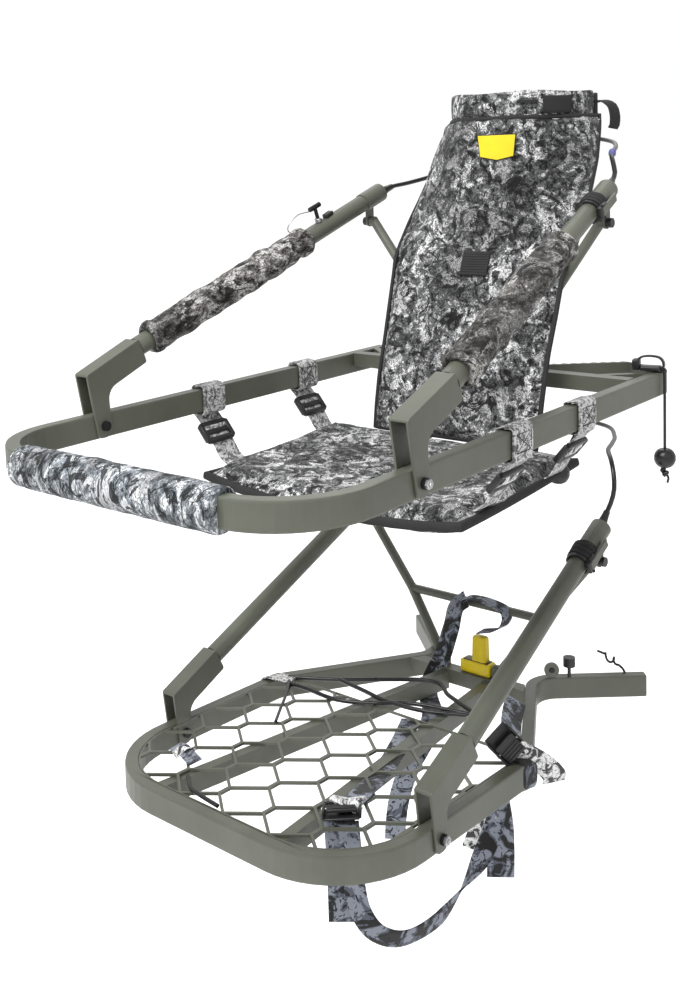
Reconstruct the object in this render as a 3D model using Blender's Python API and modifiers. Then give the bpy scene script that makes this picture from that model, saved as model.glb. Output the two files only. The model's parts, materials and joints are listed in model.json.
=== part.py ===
"""Climbing tree stand: a seat section and a platform section that grip one trunk.

Frame: +Z up along the trunk's axis, z = 0 at mid height of the seat rails, front towards -Y,
the sitter's left towards +X.  Sizes below are millimetres and are scaled to metres by MM.
"""
import math

import bmesh
import bpy
from mathutils import Matrix, Vector

MM = 0.001
GAP = 0.3                       # clearance left between touching pieces
SIDES = {"left": 1, "right": -1}

# seat section
RAIL_WIDTH = 20.0
RAIL_HEIGHT = 38.0
RAIL_WALL = 2.0
RAIL_EDGE = 3.0                 # rounding of the rail's long edges
SEAT_X = 290.0                  # centre line of a side rail
SEAT_FRONT_Y = -980.0
SEAT_TIP_Y = -57.0
SEAT_BEND = 117.0
SEAT_TUBE_Y = (-165.0, -140.0)
SEAT_TUBE_Z = (-6.0, 19.0)
SEAT_BOLT_Y = -771.0
PAD_RADIUS = 28.0
PAD_X = (-186.0, 178.0)

# platform section, in its own frame
PLATFORM_PLACE = Vector((0.0, -108.4, -546.9))
PLATFORM_TURN = (math.radians(-2.72), math.radians(-1.14), math.radians(-1.92))
PLATFORM_X = 254.0
PLATFORM_FRONT_Y = -728.0
PLATFORM_BEND = 139.0
PLATFORM_BOLT_Y = -556.0
PLATFORM_TUBE_Y = (-116.0, -91.0)
PLATFORM_TUBE_Z = (-7.0, 18.0)
MESH_PITCH = (88.0, 110.0)
MESH_BOND = 22.0
MESH_STRAND = 3.0
MESH_TOP = 18.0

# arms
ARM_RADIUS = 15.5
ARM_BORE = 12.5
BRACKET_WIDTH = 29.0
BRACKET_SLOT = 22.0
BOLT_RADIUS = 4.0
BOLT_HOLE = 4.3
HEAD_RADIUS = 7.5
PIN_RADIUS = 3.0
PIN_HOLE = 3.3
SLEEVE_RADIUS = 26.0
BRACE_RADIUS = 8.5
KNUCKLE = 10.0

SEAT_ARM = {
    "bolt_y": SEAT_BOLT_Y, "rail_x": SEAT_X, "front": (-29.0, 81.0), "start": (80.0, 106.0),
    "end": Vector((231.0, -130.0, 323.0)), "joint": Vector((234.0, -153.0, 270.0)),
    "brace_foot": Vector((58.0, -148.0, 38.0)), "brace_bar": Vector((131.0, -150.0, 135.0)),
}
PLATFORM_ARM = {
    "bolt_y": PLATFORM_BOLT_Y, "rail_x": PLATFORM_X, "front": (-24.0, 69.0), "start": (76.0, 101.0),
    "end": Vector((240.0, -66.0, 309.0)), "joint": Vector((240.0, -82.0, 257.0)),
    "brace_foot": Vector((62.0, -98.0, 32.0)), "brace_bar": Vector((139.0, -84.0, 137.0)),
}

# colours: base colour, roughness, metallic
OLIVE = ((0.13, 0.135, 0.10), 0.45, 0.3)
BLACK_METAL = ((0.015, 0.015, 0.016), 0.35, 0.6)
BLACK_PLASTIC = ((0.012, 0.012, 0.013), 0.4, 0.0)
RUBBER = ((0.015, 0.015, 0.015), 0.7, 0.0)
CAMO = ((0.22, 0.22, 0.24), 0.9, 0.0)
WEBBING = ((0.45, 0.46, 0.47), 0.9, 0.0)
DARK_WEBBING = ((0.16, 0.18, 0.22), 0.9, 0.0)
YELLOW = ((0.8, 0.62, 0.02), 0.4, 0.0)
STEEL = ((0.5, 0.5, 0.5), 0.3, 1.0)


# ---------------------------------------------------------------- scene and placing

def clear_scene():
    for item in list(bpy.data.objects):
        bpy.data.objects.remove(item, do_unlink=True)


def empty(name, place, parent=None):
    item = bpy.data.objects.new(name, None)
    item.location = Vector(place) * MM
    item.parent = parent
    COLLECTION.objects.link(item)
    return item


def offset_in_section(item):
    """Place of an empty in its section's frame, in metres."""
    place = Vector((0, 0, 0))
    while item is not None and item not in (SEAT, PLATFORM):
        place += item.location
        item = item.parent
    return place


def material(name, look):
    shader_material = bpy.data.materials.new(name)
    shader_material.use_nodes = True
    shader = shader_material.node_tree.nodes["Principled BSDF"]
    colour, roughness, metallic = look
    shader.inputs["Base Color"].default_value = (*colour, 1.0)
    shader.inputs["Roughness"].default_value = roughness
    shader.inputs["Metallic"].default_value = metallic
    return shader_material


def part(name, mesh, look, parent):
    """Add a finished mesh, given in its section's frame, as a node under its parent empty."""
    mesh.transform(Matrix.Translation(-offset_in_section(parent)))
    mesh.shade_smooth()
    mesh.set_sharp_from_angle(angle=math.radians(35))
    mesh.materials.clear()
    mesh.materials.append(material(name, look))
    item = bpy.data.objects.new(name, mesh)
    item.parent = parent
    COLLECTION.objects.link(item)
    return item


# ---------------------------------------------------------------- shapes

def evaluated_copy(item):
    graph = bpy.context.evaluated_depsgraph_get()
    return bpy.data.meshes.new_from_object(item.evaluated_get(graph))


def weld(mesh):
    shape = bmesh.new()
    shape.from_mesh(mesh)
    bmesh.ops.remove_doubles(shape, verts=shape.verts, dist=1e-6)
    bmesh.ops.recalc_face_normals(shape, faces=shape.faces)
    shape.to_mesh(mesh)
    shape.free()
    return mesh


def prism(outline, low, high, holes=()):
    """A flat outline, with holes, extruded from low to high along Z."""
    curve = bpy.data.curves.new("outline", "CURVE")
    curve.dimensions = "2D"
    curve.fill_mode = "BOTH"
    curve.extrude = (high - low) / 2 * MM
    for loop in (outline, *holes):
        spline = curve.splines.new("POLY")
        spline.points.add(len(loop) - 1)
        for point, (x, y) in zip(spline.points, loop):
            point.co = (x * MM, y * MM, 0.0, 1.0)
        spline.use_cyclic_u = True
    item = bpy.data.objects.new("outline", curve)
    bpy.context.scene.collection.objects.link(item)
    mesh = evaluated_copy(item)
    bpy.data.objects.remove(item, do_unlink=True)
    mesh.transform(Matrix.Translation((0, 0, (high + low) / 2 * MM)))
    return weld(mesh)


def side_prism(outline, x_low, x_high, holes=()):
    """The same with the outline in the Y-Z plane, extruded along X."""
    mesh = prism(outline, x_low, x_high, holes)
    mesh.transform(Matrix(((0, 0, 1, 0), (1, 0, 0, 0), (0, 1, 0, 0), (0, 0, 0, 1))))
    return mesh


def front_prism(outline, y_low, y_high, holes=()):
    """The same with the outline in the X-Z plane, extruded along Y."""
    mesh = prism(outline, -y_high, -y_low, holes)
    mesh.transform(Matrix(((1, 0, 0, 0), (0, 0, -1, 0), (0, 1, 0, 0), (0, 0, 0, 1))))
    return mesh


def box(low, high):
    shape = bmesh.new()
    bmesh.ops.create_cube(shape, size=1.0)
    low = Vector(low) * MM
    high = Vector(high) * MM
    size = high - low
    middle = (high + low) / 2
    for vertex in shape.verts:
        vertex.co = Vector(a * b for a, b in zip(vertex.co, size)) + middle
    mesh = bpy.data.meshes.new("box")
    shape.to_mesh(mesh)
    shape.free()
    return mesh


def circle(radius, count=20, centre=(0.0, 0.0)):
    turn = 2 * math.pi / count
    return [(centre[0] + radius * math.cos(turn * (i + 0.5)),
             centre[1] + radius * math.sin(turn * (i + 0.5))) for i in range(count)]


def rounded(corners, steps=5):
    """A closed outline whose corners (x, y, radius) are arcs."""
    outline = []
    for index, (x, y, radius) in enumerate(corners):
        here = Vector((x, y))
        before = (Vector(corners[index - 1][:2]) - here).normalized()
        after = (Vector(corners[(index + 1) % len(corners)][:2]) - here).normalized()
        if radius <= 0:
            outline.append(tuple(here))
            continue
        half = before.angle(after) / 2
        reach = radius / math.tan(half)
        centre = here + (before + after).normalized() * (radius / math.sin(half))
        start = here + before * reach - centre
        finish = here + after * reach - centre
        sweep = start.angle_signed(finish)
        for step in range(steps + 1):
            turned = start.copy()
            turned.rotate(Matrix.Rotation(-sweep * step / steps, 2))
            outline.append(tuple(centre + turned))
    return outline


def along(start, finish):
    """The matrix that takes the Z axis to the line from start towards finish."""
    direction = (Vector(finish) - Vector(start)).normalized()
    turn = direction.to_track_quat("Z", "Y").to_matrix().to_4x4()
    return Matrix.Translation(Vector(start) * MM) @ turn


def rod(start, finish, radius, bore=0.0, count=14):
    """A round bar, or with a bore a tube, between two points."""
    length = (Vector(finish) - Vector(start)).length
    holes = (circle(bore, count),) if bore else ()
    mesh = prism(circle(radius, count), 0.0, length, holes)
    mesh.transform(along(start, finish))
    return mesh


def combined(mesh, tools, operation):
    """One exact Boolean of a mesh with each tool mesh in turn."""
    for tool in tools:
        body = bpy.data.objects.new("body", mesh)
        cutter = bpy.data.objects.new("cutter", tool)
        for item in (body, cutter):
            bpy.context.scene.collection.objects.link(item)
        step = body.modifiers.new("step", "BOOLEAN")
        step.operation = operation
        step.solver = "EXACT"
        step.object = cutter
        mesh = evaluated_copy(body)
        for item in (body, cutter):
            bpy.data.objects.remove(item, do_unlink=True)
    return weld(mesh)


def cut(mesh, *tools):
    return combined(mesh, tools, "DIFFERENCE")


def joined(mesh, *tools):
    return combined(mesh, tools, "UNION")


def clipped(mesh, place, outward):
    """Cut away what lies beyond a plane, and close the cut."""
    shape = bmesh.new()
    shape.from_mesh(mesh)
    parts = list(shape.verts) + list(shape.edges) + list(shape.faces)
    result = bmesh.ops.bisect_plane(shape, geom=parts, plane_co=Vector(place) * MM,
                                    plane_no=Vector(outward), clear_outer=True)
    edges = [item for item in result["geom_cut"] if isinstance(item, bmesh.types.BMEdge)]
    bmesh.ops.holes_fill(shape, edges=edges)
    bmesh.ops.recalc_face_normals(shape, faces=shape.faces)
    shape.to_mesh(mesh)
    shape.free()
    return mesh


def trimmed(mesh, place, outward):
    """Cut a hollow mesh off square at a plane, leaving its bore open."""
    tool = box((-90, -90, 0), (90, 90, 90))
    tool.transform(along(place, Vector(place) + Vector(outward)))
    return cut(mesh, tool)


def turned(start, finish, profile, count):
    """A ring swept round the line from start to finish: profile gives (radius, distance along)."""
    shape = bmesh.new()
    rings = []
    for radius, height in profile:
        rings.append([shape.verts.new(Vector((x, y, height)) * MM) for x, y in circle(radius, count)])
    for low, high in zip(rings, rings[1:] + rings[:1]):
        for i in range(count):
            j = (i + 1) % count
            shape.faces.new((low[i], low[j], high[j], high[i]))
    bmesh.ops.recalc_face_normals(shape, faces=shape.faces)
    mesh = bpy.data.meshes.new("turned")
    shape.to_mesh(mesh)
    shape.free()
    mesh.transform(along(start, finish))
    return mesh


def softened(mesh, width):
    """Round the sharp edges of a prism."""
    shape = bmesh.new()
    shape.from_mesh(mesh)
    edges = [edge for edge in shape.edges if edge.calc_face_angle(0.0) > math.radians(50)]
    bmesh.ops.bevel(shape, geom=edges, offset=width * MM, segments=2, affect="EDGES", profile=0.6)
    shape.to_mesh(mesh)
    shape.free()
    return mesh


def route(corners, steps=13):
    """Centre line through corners (x, y, bend radius): a list of (point, unit normal)."""
    samples = []
    finest = steps
    points = [Vector(corner[:2]) for corner in corners]
    for index, corner in enumerate(corners):
        here = points[index]
        if index in (0, len(corners) - 1):
            other = points[1] if index == 0 else points[-2]
            direction = (other - here if index == 0 else here - other).normalized()
            samples.append((here, Vector((-direction.y, direction.x))))
            continue
        into = (here - points[index - 1]).normalized()
        away = (points[index + 1] - here).normalized()
        turn = into.angle_signed(away)
        reach = corner[2] * math.tan(abs(turn) / 2)
        steps = max(3, round(finest * abs(turn) / math.radians(90)))
        start = here - into * reach
        side = Vector((-into.y, into.x)) * (1 if turn < 0 else -1)
        centre = start + side * corner[2]
        for step in range(steps + 1):
            bent = into.copy()
            bent.rotate(Matrix.Rotation(-turn * step / steps, 2))
            normal = Vector((-bent.y, bent.x))
            samples.append((centre - normal * corner[2] * (1 if turn < 0 else -1), normal))
    return samples


def ribbon(samples, left, right):
    """Closed outline of a strip that lies left and right of a centre line."""
    one = [tuple(point + normal * left) for point, normal in samples]
    other = [tuple(point - normal * right) for point, normal in samples]
    return one + other[::-1]


def shortened(samples, length):
    """The same centre line with both ends moved inwards."""
    result = list(samples)
    for end, inner in ((0, 1), (-1, -2)):
        point, normal = result[end]
        inwards = (result[inner][0] - point).normalized()
        result[end] = (point + inwards * length, normal)
    return result


def hollow_bar(samples, bolts):
    """A bent rectangular tube with closed ends and cross holes for its bolts."""
    half = RAIL_HEIGHT / 2
    inner = RAIL_WIDTH / 2 - RAIL_WALL
    mesh = prism(ribbon(samples, RAIL_WIDTH / 2, RAIL_WIDTH / 2), -half, half)
    mesh = softened(mesh, RAIL_EDGE)
    cavity = prism(ribbon(shortened(samples, 4.0), inner, inner), RAIL_WALL - half, half - RAIL_WALL)
    holes = [rod((x - 40, y, 0), (x + 40, y, 0), BOLT_HOLE) for x, y in bolts]
    return cut(mesh, cavity, *holes)


# ---------------------------------------------------------------- shared arm parts

def arm_geometry(spec, side):
    """Start, end and unit direction of an arm tube's axis."""
    start = Vector((side * spec["rail_x"], spec["bolt_y"] + spec["start"][0], spec["start"][1]))
    end = Vector((side * spec["end"].x, spec["end"].y, spec["end"].z))
    return start, end, (end - start).normalized()


def point_on_arm(spec, side, y):
    start, end, direction = arm_geometry(spec, side)
    return start + direction * ((y - start.y) / direction.y)


def bracket_mesh(spec, side):
    """Forked bracket of rectangular tube, open in front, with two plates round the rail."""
    slope = math.atan2(spec["end"].z - spec["start"][1], spec["end"].y - spec["bolt_y"] - spec["start"][0])
    rise = math.tan(slope)
    front_y, front_z = spec["front"]
    start_y, start_z = spec["start"]
    up = Vector((-math.sin(slope), math.cos(slope)))
    top = Vector((start_y, start_z)) + up * 16
    low = Vector((start_y, start_z)) - up * 24
    web_y = 10.0
    web_z = low.y - (low.x - web_y) * rise
    outline = rounded([(-12, -18, 8), (front_y, front_z, 4), (top.x, top.y, 4),
                       (low.x, low.y, 4), (web_y, web_z, 22), (14, -18, 12)])
    wall = 3.5
    inner = [(-60, -40), (-60, front_z - wall - 12), (front_y, front_z - wall),
             (top.x - 10, top.y - 6), (top.x - 3, top.y - 11), (low.x - 9, low.y + 5),
             (web_y + 14, web_z + 14 * rise + 4.5), (web_y + 14, -40)]
    y_shift = spec["bolt_y"]
    centre_x = side * spec["rail_x"]
    mesh = side_prism([(y + y_shift, z) for y, z in outline],
                      centre_x - BRACKET_WIDTH / 2, centre_x + BRACKET_WIDTH / 2)
    mesh = softened(mesh, 1.2)
    slot = side_prism([(y + y_shift, z) for y, z in inner],
                      centre_x - BRACKET_SLOT / 2, centre_x + BRACKET_SLOT / 2)
    hole = rod((centre_x - 40, y_shift, 0), (centre_x + 40, y_shift, 0), BOLT_HOLE)
    return cut(mesh, slot, hole)


def ear_outline(y, z, top_front, top_rear, radius=10.0):
    """A lug below an arm: round at the joint, reaching up to the tube."""
    arc = [(y + radius * math.cos(a), z + radius * math.sin(a))
           for a in (math.radians(180 + 18 * i) for i in range(11))]
    return arc + [(y + radius, top_rear), (y - radius, top_front)]


def arm_mesh(spec, side, collar_from):
    """Arm tube with its end collar and the lug that takes the brace pin."""
    start, end, direction = arm_geometry(spec, side)
    base = start - direction * 20
    length = (end - base).length
    collar = (end - point_on_arm(spec, side, collar_from)).length
    tube = turned(base, end, [(ARM_BORE, 0), (ARM_RADIUS, 0), (ARM_RADIUS, length - collar),
                              (ARM_RADIUS + 1.7, length - collar), (ARM_RADIUS + 1.7, length),
                              (ARM_BORE, length)], 24)
    face = Vector((0, direction.y, direction.z)).normalized()
    tube = trimmed(tube, start + face * GAP, -face)
    joint = spec["joint"]
    axis_z = point_on_arm(spec, side, joint.y).z
    rise = direction.z / direction.y
    drop = ARM_BORE + 2.4
    ear = side_prism(ear_outline(joint.y, joint.z, axis_z - 10 * rise - drop, axis_z + 10 * rise - drop),
                     *sorted((side * (joint.x + 3.4), side * (joint.x + 7.4))))
    mesh = joined(tube, ear)
    hole = rod((side * (joint.x - 1), joint.y, joint.z), (side * (joint.x + 12), joint.y, joint.z),
               PIN_HOLE, count=16)
    return cut(mesh, hole)


def brace_mesh(spec):
    """U brace: two legs with a cross bar, and a round knuckle at each end."""
    foot, bar, top = spec["brace_foot"], spec["brace_bar"], spec["joint"]
    pieces = []
    for side in SIDES.values():
        points = [Vector((side * p.x, p.y, p.z)) for p in (foot, bar, top)]
        inset = Vector((side * 5, 0, 0))
        pieces.append(rod(points[0], points[1] + (points[1] - points[0]).normalized() * 5, BRACE_RADIUS))
        pieces.append(rod(points[1], points[2] - inset, BRACE_RADIUS))
        pieces.append(rod(points[0] - inset, points[0] + inset, KNUCKLE))
        pieces.append(rod(points[2] - inset * 1.6, points[2] + inset * 0.56, KNUCKLE - 1))
    pieces.append(rod((-bar.x, bar.y, bar.z), (bar.x, bar.y, bar.z), BRACE_RADIUS - 1))
    mesh = joined(pieces[0], *pieces[1:])
    holes = []
    for side in SIDES.values():
        foot_x = side * foot.x
        holes.append(rod((foot_x - 30, foot.y, foot.z), (foot_x + 30, foot.y, foot.z), PIN_HOLE,
                         count=16))
        holes.append(rod((foot_x + side * 5, foot.y, foot.z), (foot_x + side * 30, foot.y, foot.z), 7.2))
        holes.append(rod((foot_x - side * 5, foot.y, foot.z), (foot_x - side * 30, foot.y, foot.z), 11.5))
    mesh = cut(mesh, *holes)
    for side in SIDES.values():
        mesh = clipped(mesh, (side * (top.x + 2.8), 0, 0), (side, 0, 0))
    return mesh


def add_arm(spec, section, side_name, prefix):
    """Bracket, tube and bolt of one arm; returns the empty on the arm's hinge."""
    side = SIDES[side_name]
    pivot = empty(f"{prefix}_arm_{side_name}_pivot", (side * spec["rail_x"], spec["bolt_y"], 0), section)
    part(f"{prefix}_bracket_{side_name}", bracket_mesh(spec, side), OLIVE, pivot)
    collar_from = spec["end"].y - 48
    part(f"{prefix}_arm_{side_name}", arm_mesh(spec, side, collar_from), OLIVE, pivot)
    x = side * spec["rail_x"]
    y = spec["bolt_y"]
    half = BRACKET_WIDTH / 2 + GAP
    shank = rod((x - half - 1, y, 0), (x + half + 1, y, 0), BOLT_RADIUS)
    heads = [rod((x + end * half, y, 0), (x + end * (half + 5), y, 0), HEAD_RADIUS) for end in (-1, 1)]
    part(f"{prefix}_bolt_{side_name}", joined(shank, *heads), BLACK_METAL, section)
    return pivot


def add_knob(spec, side_name, prefix, pivot):
    """Knob pin in the arm's lug; its shank ends clear of the brace's knuckle."""
    side = SIDES[side_name]
    joint = spec["joint"]
    inner = joint.x + 3.5
    centre = (side * joint.x, joint.y, joint.z)
    pull = empty(f"{prefix}_knob_{side_name}_slide",
                 Vector(centre) - Vector(offset_in_section(pivot)) / MM, pivot)
    shank = rod((side * inner, joint.y, joint.z), (side * (inner + 8), joint.y, joint.z), PIN_RADIUS, count=16)
    knob = rod((side * (inner + 4.3), joint.y, joint.z), (side * (inner + 13), joint.y, joint.z), 8.0)
    part(f"{prefix}_knob_{side_name}", joined(shank, knob), BLACK_PLASTIC, pull)


# ---------------------------------------------------------------- seat section

def add_seat_frame():
    rail_route = route([(SEAT_X, SEAT_TIP_Y, 0), (SEAT_X, SEAT_FRONT_Y, SEAT_BEND),
                        (-SEAT_X, SEAT_FRONT_Y, SEAT_BEND), (-SEAT_X, SEAT_TIP_Y, 0)])
    bolts = [(side * SEAT_X, SEAT_BOLT_Y) for side in SIDES.values()]
    part("seat_rail", hollow_bar(rail_route, bolts), OLIVE, SEAT)
    inside = SEAT_X - RAIL_WIDTH / 2 - GAP
    low_z, high_z = SEAT_TUBE_Z
    front, rear = SEAT_TUBE_Y
    wall = 2.0
    tube = side_prism([(front, low_z), (rear, low_z), (rear, high_z), (front, high_z)], -inside, inside,
                      ([(front + wall, low_z + wall), (rear - wall, low_z + wall),
                        (rear - wall, high_z - wall), (front + wall, high_z - wall)],))
    foot = SEAT_ARM["brace_foot"]
    ears = []
    for side in SIDES.values():
        ear = side_prism(lug_outline(foot.y, foot.z, high_z - 1), *sorted((side * 46, side * (foot.x - 5.4))))
        ears.append(ear)
    holes = [rod((-80, foot.y, foot.z), (80, foot.y, foot.z), PIN_HOLE, count=16)]
    part("seat_rear_tube", cut(joined(tube, *ears), *holes), OLIVE, SEAT)
    hinge_rod = rod((-68, foot.y, foot.z), (68, foot.y, foot.z), PIN_RADIUS, count=16)
    heads = [rod((s * 63.5, foot.y, foot.z), (s * 68, foot.y, foot.z), 6.0) for s in (-1, 1)]
    part("seat_hinge_rod", joined(hinge_rod, *heads), STEEL, SEAT)
    for side_name, side in SIDES.items():
        strut = prism(ribbon(route([(side * 290, -84, 0), (side * 205, -156, 0)]), 6, 6), -17, 19)
        strut = clipped(strut, (side * inside, 0, 0), (side, 0, 0))
        strut = clipped(strut, (0, rear + GAP, 0), (0, -1, 0))
        part(f"seat_corner_{side_name}", strut, OLIVE, SEAT)
    part("seat_tree_blade", blade_mesh([(SEAT_X, -62), (222, -38), (104, -134), (-104, -134), (-222, -38),
                                        (-SEAT_X, -62)], inside), OLIVE, SEAT)


def lug_outline(y, z, base, radius=9.5):
    arc = [(y + radius * math.cos(a), z + radius * math.sin(a))
           for a in (math.radians(18 * i) for i in range(11))]
    return arc + [(y - radius, base), (y + radius, base)]


def blade_mesh(corners, limit_x):
    """V-shaped gripping blade, toothed on the side that meets the trunk."""
    outline = []
    for index in range(1, len(corners) - 2):
        start, finish = Vector(corners[index]), Vector(corners[index + 1])
        run = finish - start
        normal = Vector((run.y, -run.x)).normalized()
        if normal.y < 0:
            normal = -normal
        count = max(4, int(run.length / 16))
        for step in range(count):
            outline.append(tuple(start + run * (step / count) + normal * 2.5))
            outline.append(tuple(start + run * ((step + 0.5) / count) + normal * 9.0))
    first, last = Vector(corners[0]), Vector(corners[-1])
    edge = [(first.x, first.y + 3)] + outline + [(last.x, last.y + 3)]
    back = [(x, y - 3.0) for x, y in corners[::-1]]
    mesh = prism(edge + back, -4, 24)
    mesh = clipped(mesh, (limit_x, 0, 0), (1, 0, 0))
    return clipped(mesh, (-limit_x, 0, 0), (-1, 0, 0))


def add_front_pad():
    half_w, half_h = RAIL_WIDTH / 2 + 1.6, RAIL_HEIGHT / 2 + 1.6
    hole = [(SEAT_FRONT_Y - half_w, -half_h), (SEAT_FRONT_Y + half_w, -half_h),
            (SEAT_FRONT_Y + half_w, half_h), (SEAT_FRONT_Y - half_w, half_h)]
    pad = side_prism(circle(PAD_RADIUS, 20, (SEAT_FRONT_Y, 0)), *PAD_X, (hole,))
    part("front_pad", pad, CAMO, SEAT)


def add_seat_straps():
    """Four webbing loops round the rails, each with a tail down to the seat panel and a buckle."""
    half_w, half_h = RAIL_WIDTH / 2 + 0.5, RAIL_HEIGHT / 2 + 0.5
    thick = 2.5
    places = {"front_left": (1, -538), "front_right": (-1, -540), "rear_left": (1, -351),
              "rear_right": (-1, -300)}
    for name, (side, y) in places.items():
        x = side * SEAT_X
        outer = [(-half_w - thick, half_h + thick), (half_w + thick, half_h + thick),
                 (half_w + thick, -half_h - thick), (-half_w + 2, -half_h - thick),
                 (-38, -84), (-42, -84), (-half_w - thick, -half_h + 1)]
        hole = [(-half_w, half_h), (half_w, half_h), (half_w, -half_h), (-half_w, -half_h)]
        outline = [(x + side * a, b) for a, b in outer]
        inner = [(x + side * a, b) for a, b in hole]
        part(f"seat_strap_{name}", front_prism(outline, y - 26, y + 26, (inner,)), WEBBING, SEAT)
        buckle = [(-18.9, -45), (-13.5, -42.4), (-24.4, -65.4), (-29.8, -68)]
        mesh = front_prism([(x + side * a, b) for a, b in buckle], y - 29, y + 29)
        part(f"seat_buckle_{name}", mesh, BLACK_PLASTIC, SEAT)


def add_seat_panel():
    outline = rounded([(-606, -126, 8), (-606, -104, 8), (-440, -90, 60), (-268, -88, 6), (-268, -110, 6),
                       (-440, -116, 60)], 3)
    part("seat_panel", side_prism(outline, -243, 243), CAMO, SEAT)


BACK_STATIONS = [(-92, 163, -256, -255), (-50, 165, -249, -246), (0, 166, -240, -234), (60, 166, -224, -215), (120, 169, -200, -194),
                 (180, 171, -182, -174), (205, 172, -174, -167), (228, 178, -160, -142),
                 (270, 177, -150, -110), (320, 172, -140, -72), (370, 167, -136, -38),
                 (420, 158, -134, -10), (448, 152, -134, 4)]


def add_back_panel():
    """Hanging back panel: flat at the seat, wrapped round the trunk's front at the top."""
    shape = bmesh.new()
    columns = 10
    rows = []
    for z, half, centre_y, edge_y in BACK_STATIONS:
        row = []
        for column in range(columns + 1):
            across = 2 * column / columns - 1
            y = centre_y + (edge_y - centre_y) * across ** 2
            row.append(shape.verts.new(Vector((half * across, y, z)) * MM))
        rows.append(row)
    for low, high in zip(rows, rows[1:]):
        for column in range(columns):
            shape.faces.new((low[column], low[column + 1], high[column + 1], high[column]))
    bmesh.ops.recalc_face_normals(shape, faces=shape.faces)
    sheet = bpy.data.meshes.new("back_panel")
    shape.to_mesh(sheet)
    shape.free()
    item = bpy.data.objects.new("sheet", sheet)
    bpy.context.scene.collection.objects.link(item)
    thicken = item.modifiers.new("thicken", "SOLIDIFY")
    thicken.thickness = 14 * MM
    thicken.offset = 0.0
    mesh = evaluated_copy(item)
    bpy.data.objects.remove(item, do_unlink=True)
    part("back_panel", mesh, CAMO, SEAT)


def add_back_strap():
    part("back_strap", prism(circle(128, 40), 456, 492, (circle(123, 40),)), CAMO, SEAT)


def smooth_route(points, spacing):
    """Catmull-Rom curve through points, resampled at an even spacing."""
    points = [Vector(p) for p in points]
    padded = [points[0] * 2 - points[1]] + points + [points[-1] * 2 - points[-2]]
    dense = []
    for a, b, c, d in zip(padded, padded[1:], padded[2:], padded[3:]):
        for step in range(16):
            t = step / 16
            dense.append(0.5 * (2 * b + (c - a) * t + (2 * a - 5 * b + 4 * c - d) * t ** 2
                                + (3 * b - a - 3 * c + d) * t ** 3))
    dense.append(points[-1])
    total = sum((q - p).length for p, q in zip(dense, dense[1:]))
    count = max(2, round(total / spacing))
    result = [dense[0]]
    travelled, goal = 0.0, total / count
    for p, q in zip(dense, dense[1:]):
        run = (q - p).length
        while travelled + run >= goal - 1e-9 and len(result) < count:
            result.append(p.lerp(q, (goal - travelled) / run))
            goal += total / count
        travelled += run
    result.append(dense[-1])
    return result


def cord_mesh(points, radius, spacing):
    curve = bpy.data.curves.new("cord", "CURVE")
    curve.dimensions = "3D"
    curve.bevel_depth = radius * MM
    curve.bevel_resolution = 2
    curve.use_fill_caps = True
    samples = smooth_route(points, spacing)
    spline = curve.splines.new("POLY")
    spline.points.add(len(samples) - 1)
    for point, place in zip(spline.points, samples):
        point.co = (*(place * MM), 1.0)
    item = bpy.data.objects.new("cord", curve)
    bpy.context.scene.collection.objects.link(item)
    mesh = evaluated_copy(item)
    bpy.data.objects.remove(item, do_unlink=True)
    return weld(mesh)


SEAT_CABLE = [(-231.8, -137, 320.3), (-226, -100, 332), (-214, -60, 338), (-190, -10, 350), (-165, 50, 372),
              (-125, 108, 395), (-70, 142, 408), (0, 153, 412), (70, 142, 410), (125, 108, 402),
              (160, 50, 392), (182, -8, 384), (200, -50, 376), (214, -72, 362), (222, -84, 346),
              (226, -106, 334), (231.8, -137, 320.3)]
PLATFORM_CABLE = [(-240.3, -74, 305), (-240, -44, 324), (-232, 0, 356), (-205, 80, 392), (-160, 170, 410),
                  (-95, 236, 416), (0, 262, 418), (95, 228, 418), (152, 150, 417), (188, 72, 420),
                  (212, 12, 421), (234, -20, 413), (248, -38, 396), (253, -45, 372), (249, -47, 350),
                  (241, -54, 325), (240.3, -74, 305)]
TIE_CORD = [(303.5, -78, 27), (305, -80, 10), (305, -80, -20), (304.5, -79, -60), (304, -78, -104)]
BALL = (304, -78, -124)
BALL_RADIUS = 18.0


def add_tie_ball():
    part("tie_cord", cord_mesh(TIE_CORD, 2.4, 9.0), BLACK_PLASTIC, SEAT)
    shape = bmesh.new()
    bmesh.ops.create_uvsphere(shape, u_segments=16, v_segments=10, radius=BALL_RADIUS * MM)
    mesh = bpy.data.meshes.new("ball")
    shape.to_mesh(mesh)
    shape.free()
    mesh.transform(Matrix.Translation(Vector(BALL) * MM))
    part("tie_ball", mesh, RUBBER, SEAT)


def add_seat_arm(side_name):
    side = SIDES[side_name]
    pivot = add_arm(SEAT_ARM, SEAT, side_name, "seat")
    low = point_on_arm(SEAT_ARM, side, -664)
    high = point_on_arm(SEAT_ARM, side, -330)
    sleeve = rod(low, high, SLEEVE_RADIUS, ARM_RADIUS + 0.4, 24)
    part(f"arm_sleeve_{side_name}", sleeve, CAMO, pivot)
    add_knob(SEAT_ARM, side_name, "seat", pivot)
    return pivot


def add_cable_pin(pivot, side):
    """T-handled pin resting on the right arm, drawn upwards to free the cable."""
    place = point_on_arm(SEAT_ARM, side, -286)
    slope = arm_geometry(SEAT_ARM, side)[2]
    up = Vector((0, -slope.z, slope.y)).normalized()
    slide = empty("cable_pin_slide", place - Vector(offset_in_section(pivot)) / MM, pivot)
    shank = rod(place + up * (ARM_RADIUS + 0.5), place + up * 44, 3.5, count=16)
    bar = rod(place + up * 44 - slope * 13, place + up * 44 + slope * 13, 4.5, count=16)
    part("cable_pin", joined(shank, bar), BLACK_METAL, slide)


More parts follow.
